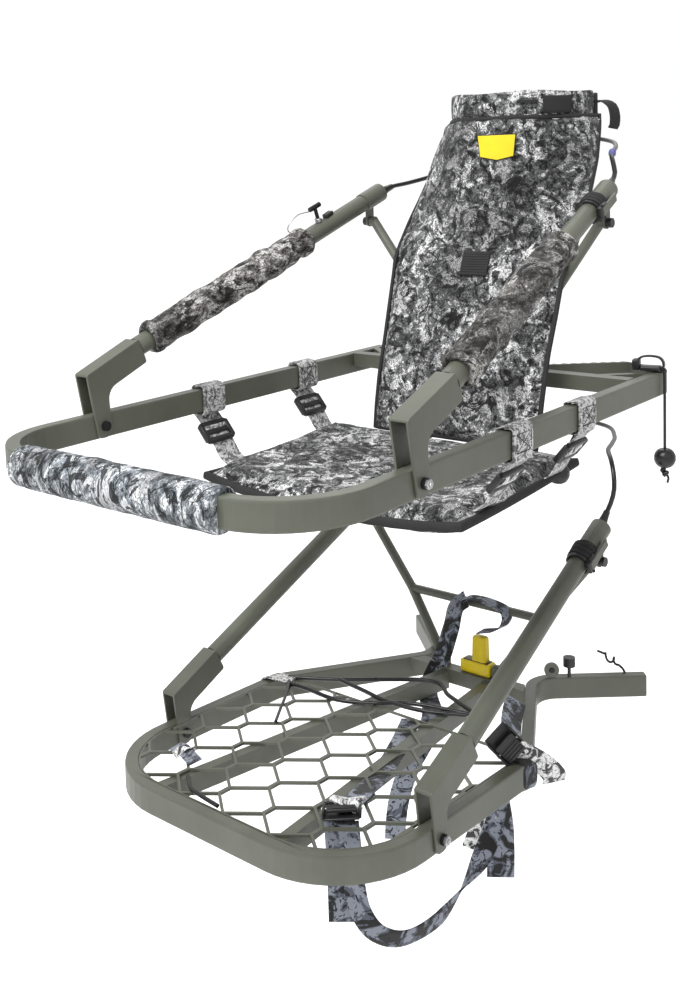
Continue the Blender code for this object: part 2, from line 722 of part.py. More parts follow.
def add_lock(spec, pivot, prefix, y):
    """Black clamp round the left arm's end with a folding lever on its outer side."""
    start, end, direction = arm_geometry(spec, 1)
    middle = point_on_arm(spec, 1, y)
    clamp = rod(middle - direction * 13, middle + direction * 13, ARM_RADIUS + 4.5, ARM_RADIUS + 2.1, 24)
    part(f"{prefix}_lock_clamp", clamp, BLACK_PLASTIC, pivot)
    up = Vector((0, -direction.z, direction.y)).normalized()
    out = direction.cross(up).normalized()
    if out.x < 0:
        out = -out
    front = middle - direction * 10 + out * 24
    hinge = empty(f"{prefix}_lock_lever_hinge", front - Vector(offset_in_section(pivot)) / MM, pivot)
    lever = box((-7, -2, -3), (7, 2, 58))
    turn = Matrix((up, out, direction)).transposed().to_4x4()
    lever = softened(lever, 1.2)
    lever.transform(Matrix.Translation(front * MM) @ turn)
    part(f"{prefix}_lock_lever", lever, OLIVE, hinge)


def build_seat():
    add_seat_frame()
    add_front_pad()
    add_seat_straps()
    add_seat_panel()
    add_back_panel()
    add_back_strap()
    add_tie_ball()
    pivots = {name: add_seat_arm(name) for name in SIDES}
    add_cable_pin(pivots["right"], -1)
    add_lock(SEAT_ARM, pivots["left"], "seat", -205)
    part("seat_cable", cord_mesh(SEAT_CABLE, 4.0, 18.0), BLACK_PLASTIC, pivots["left"])
    foot = SEAT_ARM["brace_foot"]
    hinge = empty("seat_brace_pivot", (0, foot.y, foot.z), SEAT)
    part("seat_brace", brace_mesh(SEAT_ARM), OLIVE, hinge)


# ---------------------------------------------------------------- platform section

def platform_route():
    half = [(246, 80, 0), (98, -55, 52), (PLATFORM_X, -325, 60), (PLATFORM_X, PLATFORM_FRONT_Y, PLATFORM_BEND)]
    return route(half + [(-x, y, bend) for x, y, bend in half[::-1]])


def add_platform_frame():
    samples = platform_route()
    bolts = [(side * PLATFORM_X, PLATFORM_BOLT_Y) for side in SIDES.values()]
    part("platform_rail", hollow_bar(samples, bolts), OLIVE, PLATFORM)
    front, rear = PLATFORM_TUBE_Y
    low_z, high_z = PLATFORM_TUBE_Z
    wall = 2.0
    tube = side_prism([(front, low_z), (rear, low_z), (rear, high_z), (front, high_z)], -160, 160,
                      ([(front + wall, low_z + wall), (rear - wall, low_z + wall),
                        (rear - wall, high_z - wall), (front + wall, high_z - wall)],))
    taper = (Vector((98, -55)) - Vector((PLATFORM_X, -325))).normalized()
    outward = Vector((-taper.y, taper.x))
    if outward.x < 0:
        outward = -outward
    inner_face = Vector((98, -55)) - outward * (RAIL_WIDTH / 2 + GAP)
    for side in SIDES.values():
        tube = trimmed(tube, (side * inner_face.x, inner_face.y, 0), (side * outward.x, outward.y, 0))
    foot = PLATFORM_ARM["brace_foot"]
    ears = []
    for side in SIDES.values():
        ear = side_prism(lug_outline(foot.y, foot.z, high_z - 1), *sorted((side * 50, side * (foot.x - 5.4))))
        ears.append(ear)
    hole = rod((-90, foot.y, foot.z), (90, foot.y, foot.z), PIN_HOLE, count=16)
    part("platform_rear_tube", cut(joined(tube, *ears), hole), OLIVE, PLATFORM)
    for side_name, side in SIDES.items():
        shank = rod((side * 48, foot.y, foot.z), (side * 71, foot.y, foot.z), PIN_RADIUS, count=16)
        head = rod((side * 67.5, foot.y, foot.z), (side * 71.5, foot.y, foot.z), 6.0)
        part(f"platform_brace_bolt_{side_name}", joined(shank, head), BLACK_METAL, PLATFORM)
        bar = prism(ribbon(route([(side * 122, -740, 0), (side * 42, -100, 0)]), 9, 9), -16, 13.5)
        bar = clipped(bar, (0, PLATFORM_FRONT_Y + RAIL_WIDTH / 2 + 2.0, 0), (0, -1, 0))
        bar = clipped(bar, (0, front - GAP, 0), (0, 1, 0))
        part(f"platform_stringer_{side_name}", bar, OLIVE, PLATFORM)


def inside_half_plane(point, start, finish):
    return (finish - start).cross(point - start) >= 0


def clip_polygon(polygon, window):
    """Sutherland-Hodgman: the part of a polygon inside a convex, counter-clockwise window."""
    result = [Vector(p) for p in polygon]
    for start, finish in zip(window, window[1:] + window[:1]):
        source, result = result, []
        for before, here in zip(source[-1:] + source[:-1], source):
            inside_before = inside_half_plane(before, start, finish)
            inside_here = inside_half_plane(here, start, finish)
            if inside_before != inside_here:
                run = here - before
                edge = finish - start
                t = edge.cross(start - before) / edge.cross(run)
                result.append(before + run * t)
            if inside_here:
                result.append(here)
        if not result:
            return []
    return result


def polygon_area(polygon):
    return 0.5 * sum(p.cross(q) for p, q in zip(polygon, polygon[1:] + polygon[:1]))


def add_platform_mesh():
    """Expanded-metal floor: hexagonal holes in one sheet, inside the rails."""
    samples = [s for s in platform_route() if s[0].y < -124]
    reach = RAIL_WIDTH / 2 + GAP
    rim = [point + normal * reach for point, normal in samples]
    if polygon_area(rim) < 0:
        rim = rim[::-1]
    if max(p.x for p in rim) > PLATFORM_X:
        rim = [point - normal * reach for point, normal in samples]
        rim = rim if polygon_area(rim) > 0 else rim[::-1]
    window = []
    for before, here, after in zip(rim[-1:] + rim[:-1], rim, rim[1:] + rim[:1]):
        into = Vector((here - before)).normalized()
        away = Vector((after - here)).normalized()
        mid = (Vector((-into.y, into.x)) + Vector((-away.y, away.x))).normalized()
        window.append(here + mid * 2.5)
    half_x, quarter_y = MESH_PITCH[0] / 2, MESH_PITCH[1] / 4
    bond = MESH_BOND / 2
    rise = 2 * quarter_y - bond
    thin = MESH_STRAND / 2
    hole = [(-half_x + 2 * thin, -bond + 1), (0, -rise + thin * 1.3), (half_x - 2 * thin, -bond + 1),
            (half_x - 2 * thin, bond - 1), (0, rise - thin * 1.3), (-half_x + 2 * thin, bond - 1)]
    notch_x = PLATFORM_X - BRACKET_WIDTH / 2 - 0.7
    strip = [Vector((a, b)) for a, b in ((3 - notch_x, -900), (notch_x - 3, -900), (notch_x - 3, 0),
                                         (3 - notch_x, 0))]
    holes = []
    for row in range(-16, 17):
        for column in range(-8, 9):
            centre = Vector((-73 + half_x + column * 2 * half_x + (row % 2) * half_x, -615 + row * 2 * quarter_y))
            clip = clip_polygon([centre + Vector(p) for p in hole], window)
            if clip and any(abs(p.x) > notch_x - 3 and abs(p.y - PLATFORM_BOLT_Y) < 31 for p in clip):
                clip = clip_polygon(clip, strip)
            clean = [p for p, q in zip(clip, clip[1:] + clip[:1]) if (p - q).length > 0.8]
            if len(clean) > 2 and polygon_area(clean) > 60:
                holes.append([tuple(p) for p in clean])
    outline = []
    for here, after in zip(rim, rim[1:] + rim[:1]):
        outline.append(tuple(here))
        if abs(here.x - after.x) < 0.01 and abs(here.y - after.y) > 150:
            edge = math.copysign(notch_x, here.x)
            way = math.copysign(28, after.y - here.y)
            outline += [(here.x, PLATFORM_BOLT_Y - way), (edge, PLATFORM_BOLT_Y - way),
                        (edge, PLATFORM_BOLT_Y + way), (here.x, PLATFORM_BOLT_Y + way)]
    sheet = prism(outline, MESH_TOP - 4, MESH_TOP, holes)
    part("platform_mesh", sheet, OLIVE, PLATFORM)


def add_level_peg():
    base = softened(box((-15, -110, 18.3), (45, -86, 41)), 2.5)
    part("peg_base", base, YELLOW, PLATFORM)
    part("lock_peg", softened(box((7, -107, 41.3), (35, -89, 86)), 3.0), YELLOW, PLATFORM)


def add_wing_knob():
    """Round lug on the left wing with a black knob that pulls out of it."""
    for side_name, side in SIDES.items():
        lug = side_prism(circle(13, 20), -2.5, 2.5)
        turn = Matrix.Rotation(math.radians(-90 + 42 * side) if side > 0 else math.radians(90 - 42), 4, "Z")
        place = Vector((128, -38, 32.5)) if side > 0 else Vector((-118, -47, 32.5))
        lug.transform(Matrix.Translation(place * MM) @ turn)
        part(f"wing_lug_{side_name}", lug, OLIVE, PLATFORM)
    shank = rod((150, -16, 19.3), (150, -16, 44), 3.0, count=16)
    head = rod((150, -16, 38), (150, -16, 54), 10.5)
    slide = empty("wing_knob_slide", (150, -16, 19.3), PLATFORM)
    part("wing_knob", joined(shank, head), BLACK_PLASTIC, slide)


CARRY_STRAP = [(172, -704, -21.6), (175, -700, -60), (192, -682, -115), (206, -645, -158),
               (218, -590, -176), (227, -530, -172), (233, -470, -145), (238, -425, -105),
               (245, -392, -60), (246, -388, -21.8)]


def band_mesh(points, width_way, width, thick, spacing):
    """A flat strap: a rectangle swept along a smooth route, its width along width_way."""
    samples = smooth_route(points, spacing)
    shape = bmesh.new()
    rings = []
    for index, place in enumerate(samples):
        ahead = samples[min(index + 1, len(samples) - 1)] - samples[max(index - 1, 0)]
        ahead.normalize()
        wide = Vector(width_way) - ahead * ahead.dot(Vector(width_way))
        wide.normalize()
        deep = ahead.cross(wide)
        corners = [(-1, -1), (1, -1), (1, 1), (-1, 1)]
        rings.append([shape.verts.new((place + wide * a * width / 2 + deep * b * thick / 2) * MM)
                      for a, b in corners])
    for low, high in zip(rings, rings[1:]):
        for i in range(4):
            j = (i + 1) % 4
            shape.faces.new((low[i], low[j], high[j], high[i]))
    shape.faces.new(rings[0][::-1])
    shape.faces.new(rings[-1])
    bmesh.ops.recalc_face_normals(shape, faces=shape.faces)
    mesh = bpy.data.meshes.new("band")
    shape.to_mesh(mesh)
    shape.free()
    return mesh


def build_platform():
    add_platform_frame()
    add_platform_mesh()
    add_level_peg()
    add_wing_knob()
    pivots = {name: add_arm(PLATFORM_ARM, PLATFORM, name, "platform") for name in SIDES}
    for name, pivot in pivots.items():
        add_knob(PLATFORM_ARM, name, "platform", pivot)
    add_lock(PLATFORM_ARM, pivots["left"], "platform", -138)
    part("platform_cable", cord_mesh(PLATFORM_CABLE, 4.0, 19.0), BLACK_PLASTIC, pivots["left"])
    foot = PLATFORM_ARM["brace_foot"]
    hinge = empty("platform_brace_pivot", (0, foot.y, foot.z), PLATFORM)
    part("platform_brace", brace_mesh(PLATFORM_ARM), OLIVE, hinge)
    part("carry_strap", band_mesh(CARRY_STRAP, (0.75, -0.65, 0), 38, 2.5, 16), DARK_WEBBING, PLATFORM)


clear_scene()
COLLECTION = bpy.data.collections.new("climbing_tree_stand")
bpy.context.scene.collection.children.link(COLLECTION)
SEAT = empty("seat_section", (0, 0, 0))
PLATFORM = empty("platform_section", PLATFORM_PLACE)
PLATFORM.rotation_mode = "YXZ"
PLATFORM.rotation_euler = PLATFORM_TURN
build_seat()
build_platform()
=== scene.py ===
"""Looks of the climbing tree stand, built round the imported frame."""
import json
import math
from collections import namedtuple

import bmesh
import bpy
from mathutils import Matrix, Vector, noise

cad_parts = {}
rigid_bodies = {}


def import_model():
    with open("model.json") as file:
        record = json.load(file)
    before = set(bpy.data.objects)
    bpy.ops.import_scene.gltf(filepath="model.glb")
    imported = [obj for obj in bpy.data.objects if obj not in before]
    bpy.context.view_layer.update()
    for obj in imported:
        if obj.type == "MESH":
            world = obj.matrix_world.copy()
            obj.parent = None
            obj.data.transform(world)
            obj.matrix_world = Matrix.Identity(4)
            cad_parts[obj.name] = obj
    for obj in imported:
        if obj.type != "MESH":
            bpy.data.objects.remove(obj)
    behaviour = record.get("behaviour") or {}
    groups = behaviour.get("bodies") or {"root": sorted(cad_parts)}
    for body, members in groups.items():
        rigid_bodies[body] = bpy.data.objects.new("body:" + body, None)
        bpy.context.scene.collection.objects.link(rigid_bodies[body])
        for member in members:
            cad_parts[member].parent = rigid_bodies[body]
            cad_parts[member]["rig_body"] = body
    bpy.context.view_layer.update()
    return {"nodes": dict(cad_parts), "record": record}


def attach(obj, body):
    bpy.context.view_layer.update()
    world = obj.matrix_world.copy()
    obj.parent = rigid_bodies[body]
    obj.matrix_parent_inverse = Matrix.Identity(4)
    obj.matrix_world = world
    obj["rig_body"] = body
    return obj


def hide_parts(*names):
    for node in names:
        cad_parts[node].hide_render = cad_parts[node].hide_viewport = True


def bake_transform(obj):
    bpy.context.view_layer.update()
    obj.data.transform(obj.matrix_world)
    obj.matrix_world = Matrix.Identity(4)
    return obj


MM = 0.001
FLOOR_Z = -1.15
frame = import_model()

# ---- frames and camera

# A half of the stand: its placing, fixed body, rails' X, brackets' Y, and the left arm's axis (mm).
Section = namedtuple("Section", "label matrix body rail_x bracket_y arm")
PITCH, ROLL, YAW = (math.radians(a) for a in (-2.72, -1.14, -1.92))
TURN = Matrix.Rotation(YAW, 4, "Z") @ Matrix.Rotation(PITCH, 4, "X") @ Matrix.Rotation(ROLL, 4, "Y")
SEAT = Section("seat", Matrix.Identity(4), "seat_frame", 290, -771, ((290, -691, 106), (231, -130, 323)))
PLATFORM = Section("platform", Matrix.Translation((0, -0.1084, -0.5469)) @ TURN, "platform_frame", 254, -556,
                   ((254, -480, 101), (240, -66, 309)))
SIDES = (("left", 1), ("right", -1))
FRONT_BAR_Y = -980


def place(section, point):
    """World position, in metres, of a point given in mm in a section's own frame."""
    return section.matrix @ (Vector(point) * MM)


def new_object(name, data):
    """Put an object with that data into the scene."""
    item = bpy.data.objects.new(name, data)
    bpy.context.scene.collection.objects.link(item)
    return item


def add_camera():
    """The photograph's camera, as fitted to the two frames."""
    az, el, roll = (math.radians(a) for a in (39.158, 5.952, -1.933))
    away = Vector((math.sin(az) * math.cos(el), -math.cos(az) * math.cos(el), math.sin(el)))
    right = Vector((math.cos(az), math.sin(az), 0))
    up = right.cross(-away)
    x_axis = right * math.cos(roll) + up * math.sin(roll)
    y_axis = up * math.cos(roll) - right * math.sin(roll)
    data = bpy.data.cameras.new("camera")
    data.lens = 41.51
    data.sensor_width = 36.0
    data.shift_y = -0.2169
    camera = new_object("camera", data)
    turn = Matrix((x_axis, y_axis, away)).transposed().to_4x4()
    camera.matrix_world = Matrix.Translation((1.0744, -1.8608, 0.3801)) @ turn
    bpy.context.scene.camera = camera


add_camera()


# ---- materials

class Nodes:
    """Small helper for building a material's node tree."""

    def __init__(self, name):
        self.material = bpy.data.materials.new(name)
        self.material.use_nodes = True
        self.tree = self.material.node_tree
        self.shader = self.tree.nodes["Principled BSDF"]
        self.coords = self.add("TexCoord", {}).outputs["Object"]

    def fill(self, socket, value):
        """Link the socket to another one, or set its value."""
        if isinstance(value, bpy.types.NodeSocket):
            self.tree.links.new(value, socket)
        else:
            socket.default_value = (*value, 1.0) if socket.type == "RGBA" else value

    def add(self, kind, inputs, **settings):
        """A new node, with inputs by name or number."""
        node = self.tree.nodes.new("ShaderNode" + kind)
        for key, value in settings.items():
            setattr(node, key, value)
        for key, value in inputs.items():
            self.fill(node.inputs[key], value)
        return node

    def set(self, **values):
        """Fill the shader's own inputs."""
        for key, value in values.items():
            self.fill(self.shader.inputs[key.replace("_", " ")], value)

    def mapped(self, scale, turn):
        inputs = {"Vector": self.coords, "Scale": scale, "Rotation": turn}
        return self.add("Mapping", inputs).outputs["Vector"]

    def noise(self, scale, detail, distortion=0.0, vector=None, roughness=0.55):
        inputs = {"Vector": vector or self.coords, "Scale": scale, "Detail": detail, "Roughness": roughness,
                  "Distortion": distortion}
        return self.add("TexNoise", inputs).outputs["Fac"]

    def wave(self, scale, direction):
        inputs = {"Vector": self.coords, "Scale": scale}
        return self.add("TexWave", inputs, bands_direction=direction).outputs["Fac"]

    def ramp(self, source, stops, smooth=False):
        node = self.add("ValToRGB", {"Fac": source})
        node.color_ramp.interpolation = "LINEAR" if smooth else "CONSTANT"
        elements = node.color_ramp.elements
        while len(elements) < len(stops):
            elements.new(0.5)
        for element, (position, colour) in zip(elements, stops):
            element.position = position
            element.color = (*colour, 1.0)
        return node.outputs["Color"]

    def mix(self, factor, first, second, blend="MIX"):
        inputs = {0: factor, 6: first, 7: second}
        return self.add("Mix", inputs, data_type="RGBA", blend_type=blend).outputs[2]

    def math(self, operation, first, second):
        return self.add("Math", {0: first, 1: second}, operation=operation).outputs[0]

    def bump(self, height, distance, strength):
        node = self.add("Bump", {"Height": height, "Distance": distance, "Strength": strength})
        self.set(Normal=node.outputs["Normal"])

    def rough(self, source, low, high):
        node = self.add("MapRange", {"Value": source, "To Min": low, "To Max": high})
        self.set(Roughness=node.outputs["Result"])


def grey(value, warm=0.0, cool=0.0):
    """A grey, shifted a little towards red or blue."""
    return (value * (1 + warm - cool), value, value * (1 - warm + cool))


def shades(base, vary):
    """The colour darkened and lightened by that share."""
    return [tuple(min(1.0, c * k) for c in base) for k in (1 - vary, 1 + vary)]


def powder_coat(name, base):
    """Fine orange-peel powder paint with a little dust and uneven gloss."""
    n = Nodes(name)
    cloudy = n.noise(9.0, 4.0)
    dark, light = shades(base, 0.12)
    n.set(Base_Color=n.ramp(cloudy, [(0.35, dark), (0.65, light)], smooth=True))
    n.rough(n.noise(60.0, 3.0), 0.36, 0.5)
    n.bump(n.noise(900.0, 2.0), 0.00012, 0.6)
    n.set(Metallic=0.0, Coat_Weight=0.12, Coat_Roughness=0.3, Specular_IOR_Level=0.5)
    return n.material


def plain(name, base, low, high, bump_scale=700.0, bump_depth=0.00012, metallic=0.0, vary=0.15):
    """Moulded plastic, rubber or bare metal with uneven tone and gloss."""
    n = Nodes(name)
    dark, light = shades(base, vary)
    n.set(Base_Color=n.ramp(n.noise(35.0, 4.0), [(0.3, dark), (0.7, light)], smooth=True))
    n.rough(n.noise(80.0, 3.0), low, high)
    n.bump(n.noise(bump_scale, 2.0), bump_depth, 0.7)
    n.set(Metallic=metallic)
    return n.material


def weave_height(n, pitch):
    """Height of a woven cloth of that pitch (m)."""
    across, along, third = (n.wave(1.0 / pitch, direction) for direction in "XZY")
    return n.math("MULTIPLY", n.math("ADD", across, along), third)


def camo(name, tones, size, shape=(1, 1, 1), turn=(0, 0, 0), veins=0.008):
    """Printed camouflage: torn patches in five tones with dark veins, on woven cloth."""
    n = Nodes(name)
    black, dark, mid, light, white = tones
    vector = n.mapped(shape, turn)
    fine = 0.36
    patch = n.noise(1.0 / size, 4.0, 1.6, vector, 0.6)
    detail = n.noise(4.6 / size, 3.0, 1.6, vector, 0.6)
    tone = n.math("ADD", n.math("MULTIPLY", patch, 1.0 - fine), n.math("MULTIPLY", detail, fine))
    base = n.ramp(tone, [(0.385, black), (0.43, dark), (0.47, mid), (0.505, mid), (0.535, light),
                         (0.57, white), (0.60, light)], smooth=True)
    shade = n.noise(0.33 / size, 2.0, 0.8, vector)
    soft = n.ramp(shade, [(0.38, grey(0.42)), (0.60, grey(1.2))], smooth=True)
    base = n.mix(1.0, base, soft, "MULTIPLY")
    for scale, width in ((1.3, veins), (2.6, veins * 0.7)):
        line = n.math("ABSOLUTE", n.math("SUBTRACT", n.noise(scale / size, 3.0, 2.2, vector, 0.5), 0.5), 0.0)
        base = n.mix(n.ramp(line, [(0.0, grey(0.9)), (width, grey(0.0))]), base, black)
    blot = n.noise(0.75 / size, 3.0, 2.5, vector)
    base = n.mix(n.ramp(blot, [(0.0, grey(0.9)), (0.41, grey(0.0))]), base, black)
    n.set(Base_Color=base)
    n.bump(weave_height(n, 0.0016), 0.0003, 0.5)
    n.set(Roughness=0.92, Sheen_Weight=0.08, Sheen_Roughness=0.5, Specular_IOR_Level=0.2)
    return n.material


def webbing(name, tones, scale, streaky):
    """Ribbed nylon webbing with a printed pattern."""
    n = Nodes(name)
    light, mid, dark = tones
    blotch = n.noise(scale, 2.0, 1.5)
    base = n.ramp(blotch, [(0.0, dark), (0.46, mid), (0.52, light)])
    marks = n.noise(scale * 2.4, 2.0, 2.5)
    base = n.mix(n.ramp(marks, [(0.0, grey(streaky)), (0.41, grey(0.0))]), base, dark)
    n.set(Base_Color=base)
    n.bump(weave_height(n, 0.0022), 0.0004, 0.6)
    n.set(Roughness=0.8, Sheen_Weight=0.15, Specular_IOR_Level=0.3)
    return n.material


rubber = plain("rubber", (0.008, 0.008, 0.008), 0.22, 0.38, 300.0, 0.0001)
steel = plain("steel", (0.45, 0.45, 0.46), 0.25, 0.4, metallic=1.0)
black_tape = plain("black_binding", (0.012, 0.012, 0.012), 0.75, 0.9, 450.0, 0.0004)
thread = plain("thread", (0.02, 0.02, 0.022), 0.7, 0.8)
white_webbing = webbing("white_webbing", (grey(0.80), grey(0.5), grey(0.05)), 55.0, 0.8)

# A finish is a material and the slot that it fills.
OLIVE = (powder_coat("olive_powder_coat", (0.090, 0.095, 0.073)), "powder_coat")
BLACK_METAL = (plain("black_zinc", (0.02, 0.02, 0.021), 0.25, 0.4, metallic=0.6), "black_metal")
PLASTIC = (plain("black_plastic", (0.012, 0.012, 0.013), 0.3, 0.45), "black_plastic")
YELLOW = (plain("yellow_plastic", (0.74, 0.56, 0.012), 0.3, 0.42, vary=0.06), "yellow_plastic")
BLUE = (plain("blue_ferrule", (0.05, 0.05, 0.25), 0.4, 0.5), "black_plastic")
RUBBER = (rubber, "rubber")
CORD_SKIN = (rubber, "black_plastic")
STEEL = (steel, "steel")
NUT_STEEL = (steel, "black_metal")
EDGING = (black_tape, "camo_fabric")
TAPE = (black_tape, "black_plastic")
TAG_EDGING = (black_tape, "yellow_plastic")
THREAD = (thread, "camo_fabric")
WEB_THREAD = (thread, "webbing")
CLOTH_TONES = (grey(0.006), grey(0.04), grey(0.13, 0, 0.02), grey(0.30), grey(0.82))
PAD_TONES = (grey(0.01, 0, 0.1), grey(0.08, 0, 0.12), grey(0.22, 0, 0.1), grey(0.46, 0, 0.05), grey(0.85))
SLEEVE_TONES = (grey(0.005), grey(0.03, 0.04), grey(0.12, 0.06), grey(0.26, 0.04), grey(0.62))
CAMO = (camo("camo_cloth", CLOTH_TONES, 0.030), "camo_fabric")
PAD_CAMO = (camo("camo_pad", PAD_TONES, 0.026, (1, 0.8, 0.55), (0, 0.35, 0)), "camo_fabric")
SLEEVE_CAMO = (camo("camo_sleeve", SLEEVE_TONES, 0.030, (1, 0.6, 1), (0.37, 0, 0), 0.009), "camo_fabric")
LIGHT_WEB = (webbing("light_webbing", (grey(0.66), grey(0.40), grey(0.13)), 110.0, 0.35), "webbing")
DARK_WEB = (webbing("dark_webbing", ((0.24, 0.26, 0.31), (0.09, 0.10, 0.13), grey(0.012)), 27.0, 0.95),
            "dark_webbing")
WHITE_WEB = (white_webbing, "dark_webbing")
BUCKLE_WEB = (white_webbing, "webbing")


# ---- building pieces

def piece(name, shape, look, body, smooth=40):
    """Turn a bmesh, in world metres, into a piece that rides on a body."""
    material, slot = look
    bmesh.ops.recalc_face_normals(shape, faces=shape.faces)
    mesh = bpy.data.meshes.new(name)
    shape.to_mesh(mesh)
    shape.free()
    mesh.shade_smooth()
    mesh.set_sharp_from_angle(angle=math.radians(smooth))
    mesh.materials.append(material)
    item = new_object(name, mesh)
    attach(item, body)
    return item


def smooth_route(points, spacing):
    """Even samples along a smooth curve through the points."""
    points = [Vector(p) for p in points]
    padded = [points[0] * 2 - points[1]] + points + [points[-1] * 2 - points[-2]]
    dense = []
    for a, b, c, d in zip(padded, padded[1:], padded[2:], padded[3:]):
        for step in range(16):
            t = step / 16
            dense.append(0.5 * (2 * b + (c - a) * t + (2 * a - 5 * b + 4 * c - d) * t ** 2
                                + (3 * b - a - 3 * c + d) * t ** 3))
    dense.append(points[-1])
    total = sum((q - p).length for p, q in zip(dense, dense[1:]))
    count = max(2, round(total / spacing))
    result = [dense[0]]
    travelled, goal = 0.0, total / count
    for p, q in zip(dense, dense[1:]):
        run = (q - p).length
        while travelled + run >= goal - 1e-9 and len(result) < count:
            result.append(p.lerp(q, (goal - travelled) / run))
            goal += total / count
        travelled += run
    result.append(dense[-1])
    return result


def circle(count):
    """Cosine and sine of evenly spaced angles."""
    return [(math.cos(a), math.sin(a)) for a in (2 * math.pi * i / count for i in range(count))]


def squared(value, power):
    """Push a cosine or sine outwards, so that a circle turns into a rounded square."""
    return math.copysign(abs(value) ** power, value)


def sweep(shape, rings, closed=False):
    """Join rings of points (world metres) into a tube."""
    rows = [[shape.verts.new(p) for p in ring] for ring in rings]
    for low, high in zip(rows, rows[1:] + rows[:closed]):
        for i in range(len(low)):
            j = (i + 1) % len(low)
            shape.faces.new((low[i], low[j], high[j], high[i]))
    if not closed:
        shape.faces.new(rows[0][::-1])
        shape.faces.new(rows[-1])


def tangents_along(samples):
    """Tangent at each sample of a route."""
    ends = zip(samples[1:] + samples[-1:], samples[:1] + samples[:-1])
    return [(after - before).normalized() for after, before in ends]


BAND_OUTLINE = ((-1, -0.5), (-0.96, -1), (-0.5, -1.05), (0, -1), (0.5, -1.05), (0.96, -1), (1, -0.5),
                (1, 0.5), (0.96, 1), (0.5, 1.05), (0, 1), (-0.5, 1.05), (-0.96, 1), (-1, 0.5))


def band(name, section, points, wide, width, thick, look, spacing=7.0, ripple=0.0, body=None):
    """Flat webbing along a smooth route; wide is the direction of its width, or one per point."""
    samples = smooth_route(points, spacing)
    shape = bmesh.new()
    rings = []
    ways = wide if isinstance(wide, list) else [wide]
    for index, (here, ahead) in enumerate(zip(samples, tangents_along(samples))):
        t = index / (len(samples) - 1) * (len(ways) - 1)
        low = min(int(t), len(ways) - 1)
        high = min(low + 1, len(ways) - 1)
        way = Vector(ways[low]).lerp(Vector(ways[high]), t - low)
        across = (way - ahead * ahead.dot(way)).normalized()
        deep = ahead.cross(across)
        lift = ripple * noise.noise(here * 0.03)
        rings.append([place(section, here + across * a * width / 2 + deep * (b * thick / 2 + lift))
                      for a, b in BAND_OUTLINE])
    sweep(shape, rings)
    return piece(name, shape, look, body or section.body, 60)


def tube(name, section, points, radius, look, spacing, sides, body=None):
    """Round bar or cord along a smooth route."""
    samples = smooth_route(points, spacing)
    tangents = tangents_along(samples)
    shape = bmesh.new()
    rings = []
    side = tangents[0].orthogonal().normalized()
    for here, ahead in zip(samples, tangents):
        side = (side - ahead * ahead.dot(side)).normalized()
        other = ahead.cross(side)
        rings.append([place(section, here + (side * c + other * s) * radius) for c, s in circle(sides)])
    sweep(shape, rings)
    return piece(name, shape, look, body or section.body, 50)


def cord(name, section, points, diameter, look, body=None, **facts):
    """A free cord as a curve of one open spline."""
    samples = [place(section, p) for p in smooth_route(points, max(6.0, diameter * 1.6))]
    curve = bpy.data.curves.new(name, "CURVE")
    curve.dimensions = "3D"
    curve.bevel_depth = diameter / 2 * MM
    curve.bevel_resolution = 4
    curve.use_fill_caps = True
    spline = curve.splines.new("POLY")
    spline.points.add(len(samples) - 1)
    for point, spot in zip(spline.points, samples):
        point.co = (*spot, 1.0)
    spline.use_smooth = True
    material, slot = look
    curve.materials.append(material)
    item = new_object(name, curve)
    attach(item, body or section.body)
    return item


def lathe(name, section, start, finish, profile, look, sides, wobble=0.0, seed=0.0, smooth=45, folds=0.0,
          body=None):
    """Turned piece along a line: profile is (distance from start, radius) in mm."""
    start, finish = Vector(start), Vector(finish)
    axis = (finish - start).normalized()
    side = axis.orthogonal().normalized()
    other = axis.cross(side)
    shape = bmesh.new()
    rings = []
    for reach, radius in profile:
        ring = []
        for c, s in circle(sides):
            way = side * c + other * s
            size = radius
            if wobble:
                spot = (start + axis * reach + way * radius) * 0.03 + Vector((seed, 0, 0))
                size += wobble * noise.noise(spot) + wobble * 0.5 * noise.noise(spot * 3.1)
            if folds:
                size += folds * noise.noise(Vector((reach * 0.038 + s * 0.8, c * 0.7 + seed, s * 0.7)))
            ring.append(place(section, start + axis * reach + way * size))
        rings.append(ring)
    sweep(shape, rings)
    return piece(name, shape, look, body or section.body, smooth)


UPRIGHT = ((1, 0, 0), (0, 0, 1))


def axes(x_way, z_way):
    """Three square directions: X along x_way, Z near z_way."""
    x_axis = Vector(x_way).normalized()
    z_axis = Vector(z_way)
    z_axis = (z_axis - x_axis * x_axis.dot(z_axis)).normalized()
    return x_axis, z_axis.cross(x_axis), z_axis


def basis(section, centre, x_way, z_way):
    """Matrix at centre (mm) with its X and Z axes along the two directions."""
    turn = Matrix(axes(x_way, z_way)).transposed().to_4x4()
    return section.matrix @ Matrix.Translation(Vector(centre) * MM) @ turn


def rounded_box(name, section, centre, x_way, z_way, size, radius, look, body=None):
    """A box of size mm with rounded edges, turned to the two directions."""
    shape = bmesh.new()
    bmesh.ops.create_cube(shape, size=1.0)
    for vertex in shape.verts:
        vertex.co = Vector([c * length for c, length in zip(vertex.co, size)]) * MM
    bmesh.ops.bevel(shape, geom=list(shape.edges), offset=radius * MM, segments=3, affect="EDGES",
                    profile=0.5)
    shape.transform(basis(section, centre, x_way, z_way))
    return piece(name, shape, look, body or section.body)


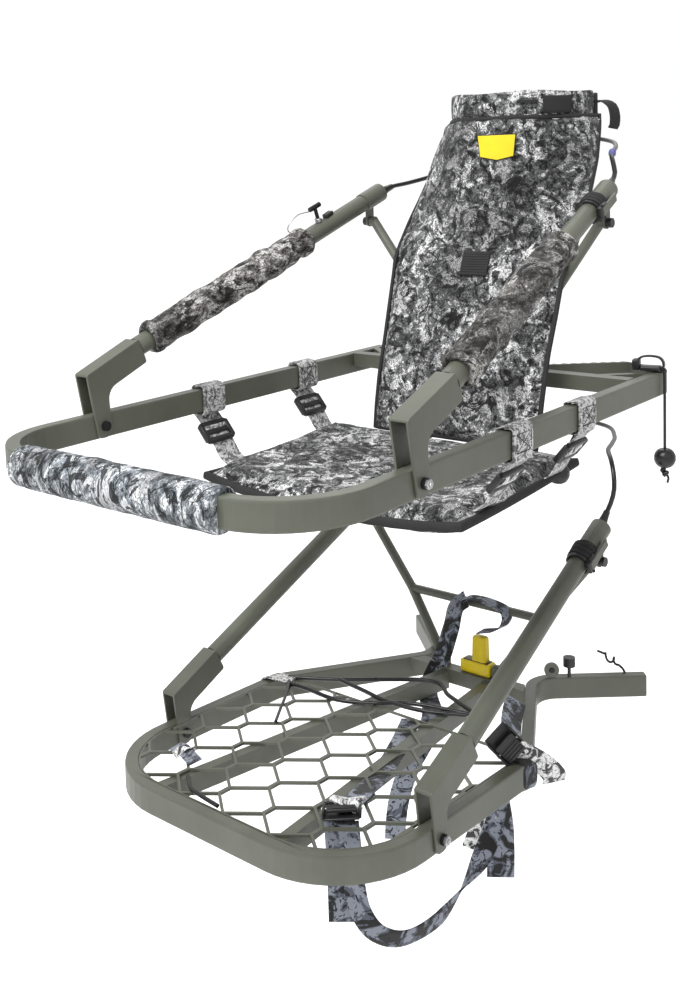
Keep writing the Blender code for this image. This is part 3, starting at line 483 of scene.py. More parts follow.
def stitches(name, section, lines, length, gap, radius, look):
    """Rows of short raised threads along straight lines."""
    shape = bmesh.new()
    for start, finish in lines:
        start, finish = Vector(start), Vector(finish)
        run = (finish - start).length
        way = (finish - start).normalized()
        side = way.orthogonal().normalized()
        other = way.cross(side)
        corners = [side * c + other * s for c, s in circle(6)]
        reach = 0.0
        while reach + length <= run + 0.01:
            rings = []
            for t, size in ((0, 0.4), (0.25, 1), (0.75, 1), (1, 0.4)):
                middle = start + way * (reach + length * t)
                rings.append([place(section, middle + corner * radius * size) for corner in corners])
            sweep(shape, rings)
            reach += length + gap
    return piece(name, shape, look, section.body, 60)


VOXEL = 5.0  # mm
PRESSURE = 3.0
CLOTH_FRAMES = 14
RIM = 7  # mm that a cushion's seam stands outside its surface


def inflate(item, cap):
    """Swell a closed shape as stuffed cloth, no point moving further than cap (mm)."""
    bpy.context.view_layer.objects.active = item
    remesh = item.modifiers.new("remesh", "REMESH")
    remesh.mode = "VOXEL"
    remesh.voxel_size = VOXEL * MM
    graph = bpy.context.evaluated_depsgraph_get()
    mesh = bpy.data.meshes.new_from_object(item.evaluated_get(graph))
    item.modifiers.clear()
    item.data = mesh
    start = [v.co.copy() for v in mesh.vertices]
    cloth = item.modifiers.new("cloth", "CLOTH")
    cloth.settings.use_pressure = True
    cloth.settings.uniform_pressure_force = PRESSURE
    cloth.settings.effector_weights.gravity = 0.0
    cloth.settings.quality = 5
    cloth.settings.tension_stiffness = 18
    cloth.settings.compression_stiffness = 18
    cloth.settings.bending_stiffness = 0.4
    cloth.point_cache.frame_start = 1
    cloth.point_cache.frame_end = CLOTH_FRAMES
    for step in range(1, CLOTH_FRAMES + 1):
        bpy.context.scene.frame_set(step)
    graph = bpy.context.evaluated_depsgraph_get()
    swollen = bpy.data.meshes.new_from_object(item.evaluated_get(graph))
    moved = [v.co.copy() for v in swollen.vertices]
    item.modifiers.clear()
    bpy.context.scene.frame_set(1)
    for vertex, before, after in zip(mesh.vertices, start, moved):
        step = after - before
        if step.length > cap * MM:
            step = step.normalized() * cap * MM
        vertex.co = before + step


def cushion(name, surface, thickness, grid, pinch, cap, seams):
    """Stuffed panel: surface(u, v) gives the middle surface in mm for u, v in -1..1."""
    shape = bmesh.new()
    rows = {1: [], -1: []}
    step = 0.02
    for j in range(grid[1] + 1):
        v = 2 * j / grid[1] - 1
        for sign in (1, -1):
            rows[sign].append([])
        for i in range(grid[0] + 1):
            u = 2 * i / grid[0] - 1
            middle = Vector(surface(u, v))
            du = Vector(surface(min(1, u + step), v)) - Vector(surface(max(-1, u - step), v))
            dv = Vector(surface(u, min(1, v + step))) - Vector(surface(u, max(-1, v - step)))
            normal = du.cross(dv).normalized()
            fall = max(0.0, (1 - abs(u) ** 10) * (1 - abs(v) ** 12))
            half = pinch / 2 + (thickness - pinch) / 2 * fall ** 0.5
            edge = i in (0, grid[0]) or j in (0, grid[1])
            for sign in (1, -1):
                if edge and sign == -1:
                    rows[-1][-1].append(rows[1][-1][i])
                    continue
                lift = 0 if edge else half
                if edge:
                    middle = middle + (middle - Vector(surface(u * 0.9, v * 0.95))).normalized() * RIM
                rows[sign][-1].append(shape.verts.new((middle + normal * sign * lift) * MM))
    for sign in (1, -1):
        for low, high in zip(rows[sign], rows[sign][1:]):
            for i in range(grid[0]):
                corners = [low[i], low[i + 1], high[i + 1], high[i]]
                if sign == -1:
                    corners = corners[::-1]
                if len(set(corners)) > 2:
                    shape.faces.new(corners)
    item = piece(name, shape, CAMO, SEAT.body)
    inflate(item, cap)
    crease(item, surface, seams)
    item.data.shade_smooth()
    smoothing = item.modifiers.new("smooth", "SUBSURF")
    smoothing.levels = 1
    smoothing.render_levels = 1
    return item


def crease(item, surface, seams):
    """Press sewn lines and soft folds into a stuffed panel."""
    lines = []
    for first, second, width, depth in seams:
        spots = [Vector(first).lerp(Vector(second), k / 40) for k in range(41)]
        lines.append(([Vector(surface(*spot)) * MM for spot in spots], width * MM, depth))
    item.data.update()
    normals = [v.normal.copy() for v in item.data.vertices]
    for vertex, normal in zip(item.data.vertices, normals):
        push = noise.noise(vertex.co * 14) * 1.6 + noise.noise(vertex.co * 38) * 0.7
        for points, width, depth in lines:
            near = min((vertex.co - p).length for p in points)
            if near < width * 3 + 0.02:
                push -= depth * math.exp(-(max(0.0, near - 0.008) / width) ** 2)
        vertex.co += normal * push * MM


def edge_binding(name, surface, width, thick):
    """Folded tape sewn round a panel's edge."""
    count = 44
    runs = [-1 + 2 * k / count for k in range(count)]
    spots = ([(t, -1) for t in runs] + [(1, t) for t in runs]
             + [(-t, 1) for t in runs] + [(-1, -t) for t in runs])
    middles = [Vector(surface(u, v)) for u, v in spots]
    shape = bmesh.new()
    rings = []
    for index, (u, v) in enumerate(spots):
        here = middles[index]
        ahead = (middles[(index + 1) % len(spots)] - middles[index - 1]).normalized()
        inward = (Vector(surface(u * 0.97, v * 0.97)) - here).normalized()
        inward = (inward - ahead * ahead.dot(inward)).normalized()
        up = ahead.cross(inward)
        outline = ((-3, 0.0), (-2.4, 0.75), (0, 1.0), (width - 2, 1.05), (width, 0.8), (width, -0.8),
                   (width - 2, -1.05), (0, -1.0), (-2.4, -0.75))
        rings.append([(here + inward * a + up * b * thick / 2) * MM for a, b in outline])
    sweep(shape, rings, closed=True)
    return piece(name, shape, EDGING, SEAT.body, 50)


# ---- arm lines

def arm_point(section, side, y, up=0.0, out=0.0):
    """Point at y on an arm's axis, moved up and outwards across it."""
    start, end = (Vector((side * x, along, z)) for x, along, z in section.arm)
    way = (end - start).normalized()
    spot = start + way * ((y - start.y) / way.y)
    lift = Vector((0, -way.z, way.y)).normalized()
    return spot + lift * up + Vector((side, 0, 0)) * out


# ---- seat section

def add_front_pad():
    profile = [(0.4, 14.0), (0, 22.0), (0.6, 26.0), (3, 27.6)]
    for k in range(1, 60):
        t = k / 60
        arch = math.sin(math.pi * t)
        profile.append((3 + 358 * k / 60, 27.6 + 0.8 * arch + 0.35 * math.sin(t * 37) * arch))
    profile += [(361, 27.6), (363.4, 26.0), (364, 22.0), (363.6, 14.0)]
    pad = lathe("front_bar_cover", SEAT, (-186, FRONT_BAR_Y, 0), (178, FRONT_BAR_Y, 0), profile, PAD_CAMO, 40,
                1.1)
    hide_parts("front_pad")
    for name, start, way in (("left", 178.5, 1), ("right", -186.5, -1)):
        cuff = [(-1.0, 25.5), (0.2, 26.2), (1.2, 25.4), (1.0, 22.4), (0.6, 14.0)]
        lathe(f"front_cuff_{name}", SEAT, (start, FRONT_BAR_Y, 0), (start + way * 10, FRONT_BAR_Y, 0), cuff,
              PAD_CAMO, 32, 0.4)
    seam = [((-178, FRONT_BAR_Y, -28.6), (170, FRONT_BAR_Y, -28.6))]
    stitches("front_seam", SEAT, seam, 4.5, 2.0, 0.45, THREAD)


def add_sleeves():
    for name, side in SIDES:
        body = f"seat_arm_{name}_body"
        low, high = arm_point(SEAT, side, -664), arm_point(SEAT, side, -330)
        length = (high - low).length
        profile = [(0, 16.2), (0.8, 21.0), (4, 24.0)]
        for k in range(1, 110):
            t = k / 110
            swell = 25.2 + 1.2 * math.sin(math.pi * t) + 0.7 * math.sin(t * 46 + side) * (0.35 + abs(t - 0.5))
            profile.append((4 + (length - 8) * t, swell))
        profile += [(length - 4, 24.0), (length - 0.8, 21.0), (length, 16.2)]
        sleeve = lathe(f"sleeve_{name}", SEAT, low, high, profile, SLEEVE_CAMO, 44, 1.6, side * 5.0, 60,
                       3.4, body)
        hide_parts(f"arm_sleeve_{name}")
        hem = [(-1, 16.2), (-3.5, 18.5), (-4.5, 22.0), (-2, 25.0), (3, 26.6), (8, 26.8), (12, 25.4),
               (14, 23.0)]
        for label, where, sign in (("low", low, 1), ("high", high, -1)):
            way = (high - low).normalized() * sign
            lathe(f"sleeve_hem_{name}_{label}", SEAT, where, where + way * 20, hem, SLEEVE_CAMO, 40, 3.2,
                  sign * 2.0 + side, 60, body=body)


def seat_surface(u, v):
    """Seat cushion's middle surface: hung from four straps, so its edges sag between them."""
    x = 243 * u * (1 - 0.02 * (1 - v * v))
    y = -435.5 + 166 * v + 7 * (1 - u * u) * (-1 if v < 0 else 1) * abs(v) ** 3
    along = 0.5 * (1 - v)
    edge_z = -112 * along - 97 * (1 - along)
    sag = -10 * (1 - u * u) - 6 * (1 - v * v)
    return (x, y, edge_z + sag + 6 * abs(u) ** 4)


def seat_underside(u, v):
    """A little below and outside the cushion's seam, where its dark side band runs."""
    x, y, z = seat_surface(u, v)
    return (x * 1.003, y, z - 5)


def add_seat_cushion():
    seams = [((-1, -0.88), (1, -0.88), 4, 2.5), ((-1, 0.9), (1, 0.9), 4, 2.0),
             ((-0.93, -1), (-0.93, 1), 4, 2.2), ((0.93, -1), (0.93, 1), 4, 2.2)]
    pad = cushion("seat_cushion", seat_surface, 32, (30, 22), 12, 5.0, seams)
    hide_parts("seat_panel")
    edge_binding("seat_binding", seat_underside, 7, 13)


# Height, half width, and Y in the middle and at the edge, from the bottom up (mm).
BACK = [(-92, 163, -256, -255), (-50, 165, -249, -246), (0, 166, -240, -234), (60, 166, -224, -215),
        (120, 169, -200, -194), (180, 171, -182, -174), (205, 172, -174, -167), (228, 178, -160, -142),
        (270, 177, -150, -110), (320, 172, -140, -72), (370, 167, -136, -38), (420, 158, -134, -10),
        (448, 152, -134, 4)]


def back_surface(u, v):
    """Back cushion's middle surface: hangs flat, wraps the trunk at the top."""
    z = -92 + 540 * (v + 1) / 2
    for low, high in zip(BACK, BACK[1:]):
        if z <= high[0] or high is BACK[-1]:
            t = (z - low[0]) / (high[0] - low[0])
            t = max(0.0, min(1.0, t))
            half, middle, edge = (a + (b - a) * t for a, b in zip(low[1:], high[1:]))
            break
    return (half * u, middle + (edge - middle) * u * u, z)


def add_back_cushion():
    seams = [((-1, 0.09), (1, 0.075), 5, 4.5), ((-0.95, -1), (-0.95, 1), 4, 1.8),
             ((0.95, -1), (0.95, 1), 4, 1.8), ((-0.55, 0.98), (-0.2, 0.64), 7, 2.0),
             ((0.12, 0.70), (0.45, 0.62), 5, 4.0), ((0.45, 0.62), (0.62, 0.66), 5, 3.0),
             ((-0.5, -0.13), (0.2, -0.21), 9, 2.0), ((-0.9, 0.9), (0.8, 0.93), 5, 3.0),
             ((-0.2, 0.5), (-0.1, 0.3), 6, 1.8),
             ((-0.7, -0.5), (-0.3, -0.75), 10, 2.2), ((0.2, -0.6), (0.6, -0.5), 9, 2.0)]
    pad = cushion("back_cushion", back_surface, 18, (26, 40), 11, 3.5, seams)
    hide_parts("back_panel")
    edge_binding("back_binding", back_surface, 4, 8)
    spot = Vector(back_surface(0.07, 0.085)) + Vector((0, -13.5, 0))
    lean = (0, 0.42, 1)
    rounded_box("back_tab", SEAT, spot, (1, 0, 0), lean, (54, 3.4, 44), 1.4, TAPE)
    for k in range(9):
        ridge = spot + Vector(lean) * (-17 + 4.2 * k) + Vector((0, -1.9, 0))
        rounded_box(f"back_tab_rib_{k}", SEAT, ridge, (1, 0, 0), lean, (51, 1.6, 2.4), 0.6, TAPE)
    u, v = 0.20, 0.811
    tag = Vector(back_surface(u, v)) + Vector((0.5, -14.5, 0))
    slope = Vector(back_surface(u + 0.1, v)) - Vector(back_surface(u - 0.1, v))
    for name, grow, thick, forward, look in (("back_tag_edge", 1.5, 1.4, 0.5, TAG_EDGING),
                                             ("back_tag", 0.0, 2.0, 0.0, YELLOW)):
        shape = bmesh.new()
        matrix = basis(SEAT, tag + Vector((0, forward, 0)), slope, (0, 0.04, 1))
        outline = [(-33 - grow, 21 + grow), (33 + grow, 21 + grow), (29 + grow, -15 - grow), (0, -21 - grow),
                   (-29 - grow, -15 - grow)]
        sweep(shape, [[matrix @ (Vector((x * size, depth * thick / 2, z * size)) * MM) for x, z in outline]
                      for depth, size in ((1, 1), (0.6, 1), (-0.6, 1), (-1, 0.976))])
        piece(name, shape, look, SEAT.body, 30)


def add_back_strap():
    shape = bmesh.new()
    rings = []
    count = 96
    for k in range(count):
        a = 2 * math.pi * k / count
        ring = []
        for radius, z in ((123.5, 452), (126.6, 451), (127.8, 456), (128.4, 471), (127.8, 486), (126.6, 492),
                          (123.5, 491)):
            ripple = 0.9 * noise.noise(Vector((math.cos(a) * 3, math.sin(a) * 3, z * 0.02)))
            size = radius + ripple
            ring.append(Vector((size * math.cos(a), size * math.sin(a), z + 1.5 * math.sin(a * 5))) * MM)
        rings.append(ring)
    sweep(shape, rings, closed=True)
    strap = piece("trunk_strap", shape, CAMO, SEAT.body, 60)
    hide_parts("back_strap")
    rounded_box("strap_buckle", SEAT, (112, 66, 470), (0.5, -0.86, 0), (0, 0, 1), (30, 9, 40), 2.5, PLASTIC)
    band("strap_tail", SEAT, [(116, 58, 474), (131, 60, 475), (146, 64, 466), (151, 66, 449), (150, 67, 432),
                              (146, 67, 425)], (0.25, 0.97, 0), 27, 2.4, TAPE)
    for name, first, last, z, width in (("strap_patch", 46, 70, 468, 30), ("strap_dash", 26, 43, 474, 5)):
        arc = [(130.4 * math.sin(math.radians(a)), -130.4 * math.cos(math.radians(a)), z)
               for a in range(first, last + 1, 4)]
        band(name, SEAT, arc, (0, 0, 1), width, 2.0, TAPE, 4)


def add_seat_straps():
    places = {"front_left": (1, -538), "front_right": (-1, -540), "rear_left": (1, -351),
              "rear_right": (-1, -300)}
    for name, (side, y) in places.items():
        x = side * SEAT.rail_x
        loop = [(0, 21.6), (9.5, 21.6), (12.4, 18), (12.6, 0), (12.4, -16), (11, -21.5), (4, -24.8),
                (-6, -24.6), (-12.4, -18.5), (-12.6, 0), (-12.4, 18), (-9.5, 21.6), (0, 23.6), (8, 24.2),
                (13.8, 19), (14.6, 4), (14.4, -12), (12, -23), (4, -30), (-4, -38), (-13, -50)]
        points = [(x + side * a, y, z) for a, z in loop]
        item = band(f"web_loop_{name}", SEAT, points, (0, 1, 0), 50, 1.7, LIGHT_WEB, 3.0, 0.5)
        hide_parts(f"seat_strap_{name}")
        tail = [(x - side * a, y + b, z) for a, b, z in ((7, 1, -50), (16, 2, -58), (28, 3, -74),
                                                         (40, 4, -92), (54, 5, -101), (78, 6, -103))]
        band(f"web_tail_{name}", SEAT, tail, (0, 1, 0), 46, 1.7, LIGHT_WEB, 4.0, 0.5)
        face = x + 15.6 if side > 0 else x + 13.4
        corners = ((-19, 14), (19, 14), (-19, -12), (19, -12))
        box = [[(face, y + corners[k][0], corners[k][1]) for k in line]
               for line in ((0, 1), (2, 3), (0, 2), (1, 3), (0, 3), (2, 1))]
        stitches(f"web_stitch_{name}", SEAT, box, 3.2, 0.8, 0.8, WEB_THREAD)
        add_buckle(name, side, (x - side * 16, y, -53), (side * 0.64, 0, 0.77))


def add_buckle(name, side, centre, way):
    """Black ladder-lock buckle: a frame with two cross bars, webbing passing through."""
    along = Vector(way).normalized()
    across = Vector((0, 1, 0))
    out = across.cross(along) * side
    if out.x * side < 0:
        out = -out
    centre = Vector(centre) + out * 2.0
    shape = bmesh.new()

    def add_bar(a, b, half, deep):
        start = centre + across * a[0] + along * a[1]
        finish = centre + across * b[0] + along * b[1]
        way_bar = (finish - start).normalized()
        side_bar = way_bar.cross(out).normalized()
        rings = []
        for t, k in ((0, 0.75), (0.06, 1), (0.94, 1), (1, 0.75)):
            spot = start.lerp(finish, t)
            rings.append([place(SEAT, spot + side_bar * squared(c, 0.6) * half * k
                                + out * squared(s, 0.6) * deep * k) for c, s in circle(12)])
        sweep(shape, rings)

    for bar in (((-28, -16), (-28, 16), 4.4, 5.0), ((28, -16), (28, 16), 4.4, 5.0),
                ((-28, 15), (28, 15), 4.4, 4.6), ((-28, -15), (28, -15), 5.0, 5.0),
                ((-27, 0), (27, 0), 4.6, 3.4)):
        add_bar(*bar)
    item = piece(f"ladder_buckle_{name}", shape, PLASTIC, SEAT.body)
    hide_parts(f"seat_buckle_{name}")
    lap = [centre + along * 16 + out * 0.5, centre + along * 8 + out * 3.6, centre + out * 5.2,
           centre - along * 8 + out * 3.4, centre - along * 16 + out * 0.5]
    band(f"buckle_web_{name}", SEAT, lap, (0, 1, 0), 42, 1.6, BUCKLE_WEB, 3.0)


SEAT_CABLE = [(-231.8, -137, 320.3), (-226, -100, 332), (-214, -60, 338), (-190, -10, 350), (-165, 50, 372),
              (-125, 108, 395), (-70, 142, 408), (0, 153, 412), (70, 142, 410), (125, 108, 402),
              (160, 50, 392), (182, -8, 384), (200, -50, 376), (214, -72, 362), (222, -84, 346),
              (226, -106, 334), (231.8, -137, 320.3)]
PLATFORM_CABLE = [(-240.3, -74, 305), (-240, -44, 324), (-232, 0, 356), (-205, 80, 392), (-160, 170, 410),
                  (-95, 236, 416), (0, 262, 418), (95, 228, 418), (152, 150, 417), (188, 72, 420),
                  (212, 12, 421), (234, -20, 413), (248, -38, 396), (253, -45, 372), (249, -47, 350),
                  (241, -54, 325), (240.3, -74, 305)]


def add_cables():
    cables = ((SEAT, SEAT_CABLE), (PLATFORM, PLATFORM_CABLE))
    for section, route in cables:
        item = cord(f"{section.label}_climbing_cable", section, route, 8.0, CORD_SKIN,
                    f"{section.label}_arm_left_body", far_end="object", stiffness="stiff", lay="taut")
        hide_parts(f"{section.label}_cable")
    swage = [(0, 5.0), (0.5, 7.6), (6, 8.2), (14, 7.0), (22, 6.0), (30, 5.4), (31, 4.2)]
    for section, route in cables:
        for where, points in (("right", route[:3]), ("left", route[::-1][:3])):
            start = Vector(points[0]).lerp(Vector(points[1]), 0.25)
            lathe(f"{section.label}_swage_{where}", section, start, points[1], swage, CORD_SKIN, 20,
                  body=f"{section.label}_arm_left_body")
    lathe("blue_ferrule", SEAT, (186, -18, 383), (199.5, -48, 376.5),
          [(0, 5.0), (1, 6.4), (16, 6.4), (24, 5.4), (30, 4.2)], BLUE, 18, body="seat_arm_left_body")
    cap = [(0, 6), (0.2, 13.2), (5, 13.2), (6.6, 12.0), (7.2, 8.6), (7.2, 5.0)]
    for name, side in SIDES:
        for section, y in ((SEAT, -137), (PLATFORM, -72)):
            lathe(f"{section.label}_arm_cap_{name}", section, arm_point(section, side, y),
                  arm_point(section, side, y + 12), cap, PLASTIC, 26, body=f"{section.label}_arm_{name}_body")


def add_tie_balls():
    route = [(303.5, -78, 27), (305, -80, 10), (305, -80, -20), (304.5, -79, -60), (304, -78, -108)]
    ball = add_ball("hanging_ball", (304, -78, -124))
    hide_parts("tie_ball")
    item = cord("ball_cord", SEAT, route, 4.8, CORD_SKIN, far_end="fitting", stiffness="limp", lay="hanging",
                with_pieces=[ball])
    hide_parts("tie_cord")
    tube("ball_knot", SEAT, [(304, -78, -140), (300, -80, -145), (304, -74, -150), (308, -80, -148),
                             (303, -82, -153)], 3.8, CORD_SKIN, 2.5, 10)
    tube("ball_tail", SEAT, [(304, -78, -148), (309, -76, -157), (307, -75, -166)], 2.0, CORD_SKIN, 3, 8)
    second = [(268, -300, -16), (258, -292, -34), (246, -290, -56), (238, -300, -78), (234, -306, -88)]
    ball = add_ball("second_ball", (232, -310, -106))
    cord("second_ball_cord", SEAT, second, 4.8, CORD_SKIN, far_end="fitting",
         stiffness="limp", lay="hanging", with_pieces=[ball])
    tube("second_ball_loop", SEAT, [(262, -296, -22), (252, -282, -42), (240, -272, -58), (232, -278, -76),
                                    (232, -300, -88)], 2.4, CORD_SKIN, 4, 10)
    tube("tip_wrap", SEAT, [(301.5, -66, 18), (300, -66, 21.4), (280, -67, 21.4), (278.2, -67, 18),
                            (278.2, -67, -16)], 2.2, TAPE, 4, 8)
    hook = [(298, -74, 20), (300, -71, 32), (294, -72, 42), (280, -77, 45), (266, -83, 43), (259, -87, 34)]
    band("tip_loop", SEAT, hook, (0.2, -0.9, 0.1), 10, 3.4, CORD_SKIN, 4)
    rounded_box("tip_buckle", SEAT, (281, -80, 25), (0.96, 0.2, 0), (0, 0, 1), (34, 20, 9), 3, PLASTIC)
    rounded_box("tip_latch", SEAT, (259, -87, 31), (0.96, 0.2, 0), (0, 0, 1), (12, 18, 19), 3, PLASTIC)


def add_ball(name, centre):
    """Rubber ball with a thin groove round its middle and slightly flat poles."""
    radius = 17.8 * MM
    shape = bmesh.new()
    bmesh.ops.create_uvsphere(shape, u_segments=40, v_segments=24, radius=radius)
    for vertex in shape.verts:
        groove = 1 - 0.02 * math.exp(-(vertex.co.z / (1.2 * MM)) ** 2)
        pole = 1 - 0.12 * (abs(vertex.co.z) / radius) ** 12
        vertex.co *= groove * pole
    shape.transform(Matrix.Translation(Vector(centre) * MM))
    return piece(name, shape, RUBBER, SEAT.body)


def add_lock_straps():
    """Black strap wound round each left arm above its clamp, and the lever's pins."""
    for section, y in ((SEAT, -205), (PLATFORM, -138)):
        body = f"{section.label}_arm_left_body"
        middle = arm_point(section, 1, y)
        way = (arm_point(section, 1, y + 10) - middle).normalized()
        up = Vector((0, -way.z, way.y)).normalized()
        out = way.cross(up).normalized()
        if out.x < 0:
            out = -out
        for k in range(3):
            points = []
            for step in range(13):
                angle = 2 * math.pi * step / 12
                points.append(middle + way * (-3 + 9 * k + 2.2 * step / 12)
                              + (up * math.cos(angle) + out * math.sin(angle)) * (20.9 + 0.4 * k))
            band(f"{section.label}_wrap_{k}", section, points, tuple(way), 8.5, 1.4, TAPE, 4, body=body)
        block = middle + out * 21.5 - way * 6
        rounded_box(f"{section.label}_lever_block", section, block, way, up, (26, 8, 20), 2.0, PLASTIC, body)
        pin = block + out * 2.5 - way * 4
        lathe(f"{section.label}_lever_pin", section, pin + up * 12, pin - up * 12,
              [(0, 1.5), (0.2, 3.0), (3, 3.0), (3.2, 1.9), (20.8, 1.9), (21, 3.0), (23.8, 3.0), (24, 1.5)],
              BLACK_METAL, 16, body=body)


def add_fasteners():
    """Nuts on the bracket bolts."""
    for section in (SEAT, PLATFORM):
        for name, side in SIDES:
            face = side * (section.rail_x + 20.2)
            shape = bmesh.new()
            rings = []
            for reach, size in ((-0.3, 6.6), (3.6, 6.6), (4.4, 5.6), (4.4, 3.4), (5.8, 3.2), (6.2, 2.6)):
                rings.append([place(section, (face + side * reach, section.bracket_y + size * c, size * s))
                              for c, s in circle(6)])
            sweep(shape, rings)
            piece(f"{section.label}_nut_{name}", shape, NUT_STEEL, section.body, 25)


def add_cable_pin_lanyard():
    body = "seat_arm_right_body"
    rounded_box("pin_latch", SEAT, arm_point(SEAT, -1, -262, 18), (0, 1, 0.4), (0, -0.37, 1), (20, 12, 8),
                2.0, PLASTIC, body)
    route = [arm_point(SEAT, -1, *spot) for spot in ((-300, 42), (-322, 46, 4), (-342, 38, 8), (-346, 26, 10),
                                              (-336, 18, 6))]
    tube("pin_lanyard", SEAT, route, 1.1, STEEL, 3, 8, body)
    lathe("pin_collar", SEAT, arm_point(SEAT, -1, -286, 16), arm_point(SEAT, -1, -286, 30),
          [(0, 4.2), (0.2, 6.4), (6, 6.4), (7, 5.2), (7.4, 4.0)], STEEL, 18, body=body)


# ---- platform section

def add_peg():
    item = rounded_box("peg_foot", PLATFORM, (15, -98, 29.7), *UPRIGHT, (61, 24, 22.2), 3.0, YELLOW)
    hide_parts("peg_base")
    rounded_box("peg_inset", PLATFORM, (15, -98, 40.9), *UPRIGHT, (50, 19, 1.8), 0.6, RUBBER)
    shape = bmesh.new()
    rings = []
    for z, grow in ((40.8, 0), (42.0, 0.9), (82, 0.0), (85.2, -1.2), (86.0, -3)):
        ring = []
        for i, (c, s) in enumerate(circle(48)):
            swell = grow - (0.7 if i % 4 == 0 and 41 < z < 84 else 0.0)
            ring.append(place(PLATFORM, (21 + squared(c, 0.35) * (13.4 + swell),
                                         -98 + squared(s, 0.35) * (8.6 + swell), z)))
        rings.append(ring)
    sweep(shape, rings)
    item = piece("peg_upright", shape, YELLOW, PLATFORM.body, 30)
    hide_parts("lock_peg")


SLANT = (0.78, 0.62, 0)
CARRY_TWIST = [SLANT, (0.78, 0.62, 0.2), (0.5, 0.3, 0.8), (0.2, 0.3, 0.9), (0.5, 0.6, 0.5), SLANT]


def strap(name, points, wide, width, spacing, ripple=0.0, thick=2.0, look=DARK_WEB, body=None):
    """Webbing on the platform."""
    return band(name, PLATFORM, points, wide, width, thick, look, spacing, ripple, body)


def add_platform_straps():
    item = strap("carry_loop", [(164, -626, 18), (170, -628, -20), (176, -630, -60), (184, -626, -100),
                                (198, -608, -132), (214, -572, -150), (228, -520, -146), (236, -470, -124),
                                (240, -425, -94), (243, -396, -58), (246, -390, -22)],
                 CARRY_TWIST, 29, 7, 1.0)
    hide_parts("carry_strap")
    strap("carry_hang", [(150, -628, 20), (158, -634, -20), (162, -636, -60), (163, -636, -116)],
          SLANT, 42, 8, 2.0)
    strap("carry_run", [(20, -300, 4), (60, -380, 6), (100, -470, 10), (132, -560, 20), (148, -612, 27)],
          (0.87, 0.4, 0), 32, 8, 1.0)
    strap("middle_strap", [(-60, -112, 20), (-57, -150, -15), (-11, -200, -25), (18, -260, -41),
                           (17, -300, -72), (-1, -305, -127), (-10, -305, -170), (-13, -305, -205)],
          SLANT, 34, 8, 2.0)
    strap("rear_tail", [(244, -392, -22), (245, -384, -60), (244, -380, -100), (242, -378, -142)],
          SLANT, 40, 8, 1.5)
    strap("rear_white_end", [(232, -400, -22), (230, -404, -54), (222, -416, -92)], SLANT, 36, 8, 1.0, 1.8,
          WHITE_WEB)
    strap("rail_wrap", [(238, -330, 22), (262, -334, 22), (266.5, -334, 0), (262, -334, -21),
                        (240, -330, -21), (233, -330, 0), (238, -330, 22)], (0.2, 1, 0), 30, 5)
    strap("rear_strap", [(190, -250, 66), (206, -286, 60), (228, -324, 52), (252, -352, 42)],
          (0.78, 0.3, -0.5), 34, 6, 1.0)
    strap("rear_white", [(250, -346, 40), (264, -330, 28), (277, -312, 12), (284, -296, -8),
                         (280, -290, -22)], (0.62, 0.2, 0.75), 36, 6, 1.5, 2.2, WHITE_WEB)
    add_cam_buckle("rear_buckle", (238, -352, 46), (0.45, 0.5, -0.72), (0.55, -0.75, 0.3), 58, 46)
    add_cam_buckle("carry_buckle", (152, -624, 24), (0.62, -0.78, 0.1), (0.3, -0.45, 0.85), 40, 56)
    strap("carry_roll", [(150, -600, 30), (150, -606, 36), (151, -616, 37), (152, -624, 34)],
          SLANT, 42, 4, 0.0, 5.0, WHITE_WEB)
    brace = "platform_brace_body"
    strap("bar_loop", [(-24, -95, 133), (-10, -97, 147), (20, -98, 151), (58, -97, 147), (74, -96, 138),
                       (70, -95, 118), (50, -94, 102), (18, -94, 92)],
          (0.2, 1, 0.1), 26, 5, 1.0, 1.8, body=brace)
    tail = strap("bar_tail", [(-8, -98, 146), (-26, -104, 128), (-34, -108, 96), (-48, -110, 50),
                              (-60, -112, 20)], (0.95, 0, 0.3), 34, 6, 2.0, 1.8, body=brace)
    tail.parent = None
    tail.matrix_world = Matrix.Identity(4)
    del tail["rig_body"]
    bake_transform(tail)
    for label, points in (
            ("upper", [(-230, -327, 21.5), (-150, -280, 22), (-23, -191, 24), (40, -220, 23),
                       (116, -250, 21.5)]),
            ("lower", [(-214, -345, 21), (-169, -345, 22), (-99, -347, 22), (-40, -318, 22), (11, -280, 22),
                       (110, -252, 21)]),
            ("cross", [(-150, -281, 22), (-90, -290, 22), (-30, -300, 22), (40, -292, 22), (104, -262, 22)])):
        tube(f"foot_bungee_{label}", PLATFORM, points, 3.6, RUBBER, 8, 12)
    tube("bungee_tail", PLATFORM, [(-215, -340, 23), (-180, -385, 22), (-150, -430, 21), (-122, -470, 21)],
         2.6, RUBBER, 8, 10)
    strap("bungee_wrap", [(-262, -344, -10), (-265, -344, 16), (-252, -342, 23), (-236, -338, 22.5),
                          (-214, -330, 22)], (0.1, 1, 0), 30, 5, 0.0, 1.8, WHITE_WEB)
    strap("front_tie", [(-182, -628, 21), (-160, -634, 26), (-138, -640, 24), (-118, -645, 21)],
          (0.2, 1, 0.2), 22, 5, 2.0, 1.8)
    strap("front_tie_knot", [(-160, -650, 21), (-152, -636, 30), (-146, -622, 24)], (1, 0.2, 0.1), 16, 4, 0.0,
          1.8, WHITE_WEB)
    tube("front_tail", PLATFORM, [(-95, -680, 20.5), (-65, -701, 21), (-40, -708, 22), (2, -712, 21)],
         3.0, RUBBER, 6, 10)


